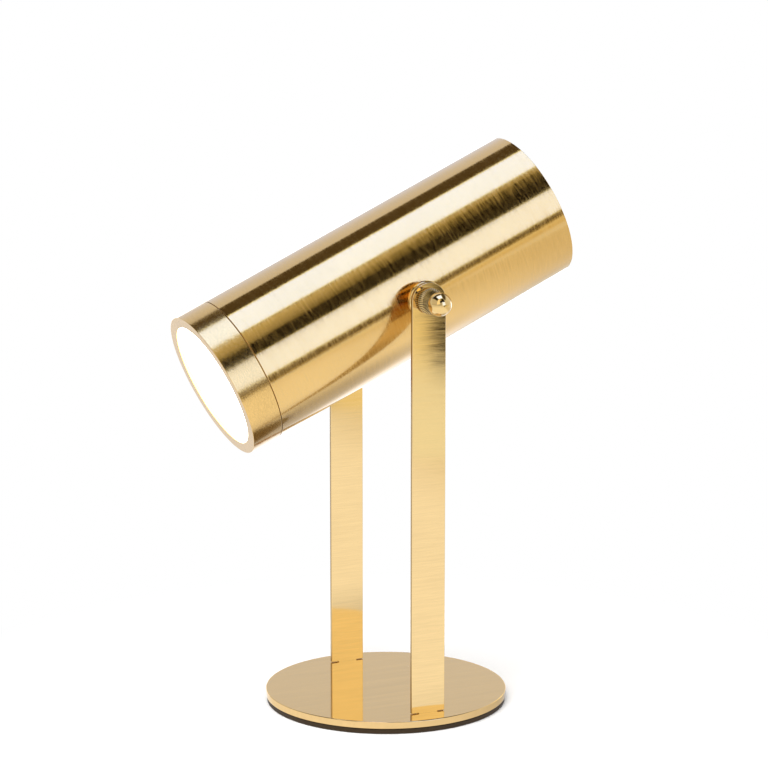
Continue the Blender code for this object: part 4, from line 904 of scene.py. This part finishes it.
def build_world():
    """A white room for the camera, a plain one for soft light, and panels for what the metal reflects."""
    world = bpy.data.worlds.new("studio")
    world.use_nodes = True
    world.cycles.sampling_method = 'NONE'
    tree = world.node_tree
    background = tree.nodes["Background"]
    path = add_node(tree, "LightPath")
    way = add_node(tree, "SeparateXYZ", None, Vector=add_node(tree, "TexCoord").outputs["Generated"])
    parts = {"x": way.outputs[0], "y": way.outputs[1], "z": way.outputs[2]}
    for axis in ("x", "y", "z"):
        parts["-" + axis] = maths(tree, 'MULTIPLY', parts[axis], -1.0)
    first = maths(tree, 'LESS_THAN', path.outputs["Glossy Depth"], FIRST_REFLECTION)

    def window(value, low, high, soft):
        start = remap(tree, value, low - soft, low + soft, 0.0, 1.0, smooth=True)
        end = remap(tree, value, high - soft, high + soft, 1.0, 0.0, smooth=True)
        return maths(tree, 'MULTIPLY', start, end)

    under = remap(tree, parts["-z"], *TABLE_START, 0.0, 1.0, smooth=True)
    table = mix_colour(tree, first, TABLE_DEEPER, TABLE_FIRST)
    colour = mix_colour(tree, under, ROOM, table)
    for _, facing, across, upward, soft, plain, direct in PANELS:
        ahead = parts[facing]
        safe = maths(tree, 'MAXIMUM', ahead, LEAST_FACING)
        mask = maths(tree, 'GREATER_THAN', ahead, LEAST_FACING)
        for axis, low, high in (across, upward):
            slope = maths(tree, 'DIVIDE', parts[axis], safe)
            mask = maths(tree, 'MULTIPLY', mask, window(slope, low, high, soft))
        light = (*plain, 1.0)
        if direct is not None:
            light = mix_colour(tree, first, light, (*direct, 1.0))
        colour = mix_colour(tree, mask, colour, light)
    below = remap(tree, parts["-z"], *FLOOR_START, 0.0, 1.0, smooth=True)
    colour = mix_colour(tree, below, colour, (FLOOR_LEVEL, FLOOR_LEVEL, FLOOR_LEVEL, 1.0))
    soft_light = mix_colour(tree, path.outputs["Is Glossy Ray"], MATT_ROOM, colour)
    seen = maths(tree, 'MAXIMUM', path.outputs["Is Camera Ray"], path.outputs["Is Transmission Ray"])
    final = mix_colour(tree, seen, soft_light, WHITE)
    tree.links.new(final, background.inputs["Color"])
    bpy.context.scene.world = world


def add_softbox(name, place, target, size, power):
    data = bpy.data.lights.new(name, 'AREA')
    data.shape = 'RECTANGLE'
    data.size, data.size_y = size
    data.energy = power
    light = bpy.data.objects.new(name, data)
    light.location = place
    light.rotation_euler = (Vector(target) - Vector(place)).to_track_quat('-Z', 'Y').to_euler()
    light.visible_glossy = False
    light.visible_camera = False
    bpy.context.scene.collection.objects.link(light)


def build_floor():
    """White table top that keeps the shadow near the lamp and fades to plain white farther out.

    The metal doesn't mirror that. It mirrors painted light instead: a glow set by the place on the table,
    with a painted shadow beside the lamp, other levels behind it, a dimmer warm tone far to the right, and
    less light in deeper reflections.
    """
    maker = bmesh.new()
    bmesh.ops.create_circle(maker, cap_ends=True, radius=TABLE_RADIUS, segments=TABLE_STEPS)
    mesh = bpy.data.meshes.new("table_top")
    maker.to_mesh(mesh)
    maker.free()
    floor = bpy.data.objects.new("table_top", mesh)
    bpy.context.scene.collection.objects.link(floor)
    made = bpy.data.materials.new("table_white")
    made.use_nodes = True
    tree = made.node_tree
    tree.nodes.remove(tree.nodes["Principled BSDF"])
    output = tree.nodes["Material Output"]
    where = add_node(tree, "TexCoord").outputs["Object"]
    distance = add_node(tree, "VectorMath", {"operation": 'LENGTH'}, i0=where).outputs["Value"]
    far = remap(tree, distance, *FADE_REACH, 0.0, 1.0, smooth=True)
    grain = noise(tree, where, TABLE_STRETCH, detail=3.0, roughness=0.5)
    colour = mix_colour(tree, grain, *TABLE_WHITES)
    path = add_node(tree, "LightPath")
    share = maths(tree, 'MULTIPLY', far, path.outputs["Is Camera Ray"])
    matt = add_node(tree, "BsdfDiffuse", None, Color=colour).outputs[0]
    white = add_node(tree, "Emission", None, Strength=1.0).outputs[0]
    seen = add_node(tree, "MixShader", None, i0=share, i1=matt, i2=white).outputs[0]
    parts = add_node(tree, "SeparateXYZ", None, Vector=where).outputs
    reach = add_node(tree, "VectorMath", {"operation": 'DISTANCE'}, i0=where, i1=SHADOW_PLACE)
    shadow = remap(tree, reach.outputs["Value"], *SHADOW_REACH, SHADOW_LEVEL, 1.0, smooth=True)
    behind = remap(tree, parts[1], *BEHIND_RANGE, 0.0, 1.0, smooth=True)
    middle = remap(tree, parts[0], *MIDDLE_RANGE, *MIDDLE_LEVELS, smooth=True)
    right = remap(tree, parts[0], *RIGHT_RANGE, 1.0, RIGHT_LEVEL, smooth=True)
    sideways = maths(tree, 'MULTIPLY', middle, right)
    change = maths(tree, 'MULTIPLY', behind, maths(tree, 'SUBTRACT', sideways, 1.0))
    level = maths(tree, 'MULTIPLY', shadow, maths(tree, 'ADD', 1.0, change))
    deeper = remap(tree, path.outputs["Glossy Depth"], *DEEPER_REFLECTIONS, 1.0, DEEPER_LEVEL)
    level = maths(tree, 'MULTIPLY', level, deeper)
    falling = remap(tree, parts[0], *RIGHT_RANGE, 0.0, 1.0, smooth=True)
    tone = mix_colour(tree, falling, TABLE_TONE, RIGHT_TONE)
    # Painted light and shadow of the table, shown to the metal in place of its lit surface
    painted_table_light = add_node(tree, "Emission", None, Color=tone, Strength=level).outputs[0]
    mixed = add_node(tree, "MixShader", None, i0=path.outputs["Is Glossy Ray"], i1=seen, i2=painted_table_light)
    tree.links.new(mixed.outputs[0], output.inputs["Surface"])
    mesh.materials.append(made)


def main():
    scene = bpy.context.scene
    scene.view_settings.view_transform = 'Standard'
    finishes = make_finishes()
    build_tube(finishes)
    build_bezel(finishes)
    build_gland(finishes)
    build_cap_screws(finishes)
    build_pivots(finishes)
    for side, place in (("front", PIVOT_FRONT), ("rear", PIVOT_REAR)):
        build_knob(side, place, finishes)
        build_upright(side, finishes)
    build_disc(finishes)
    dress_nodes(finishes)
    build_camera()
    build_world()
    for softbox in SOFTBOXES:
        add_softbox(*softbox)
    build_floor()


main()
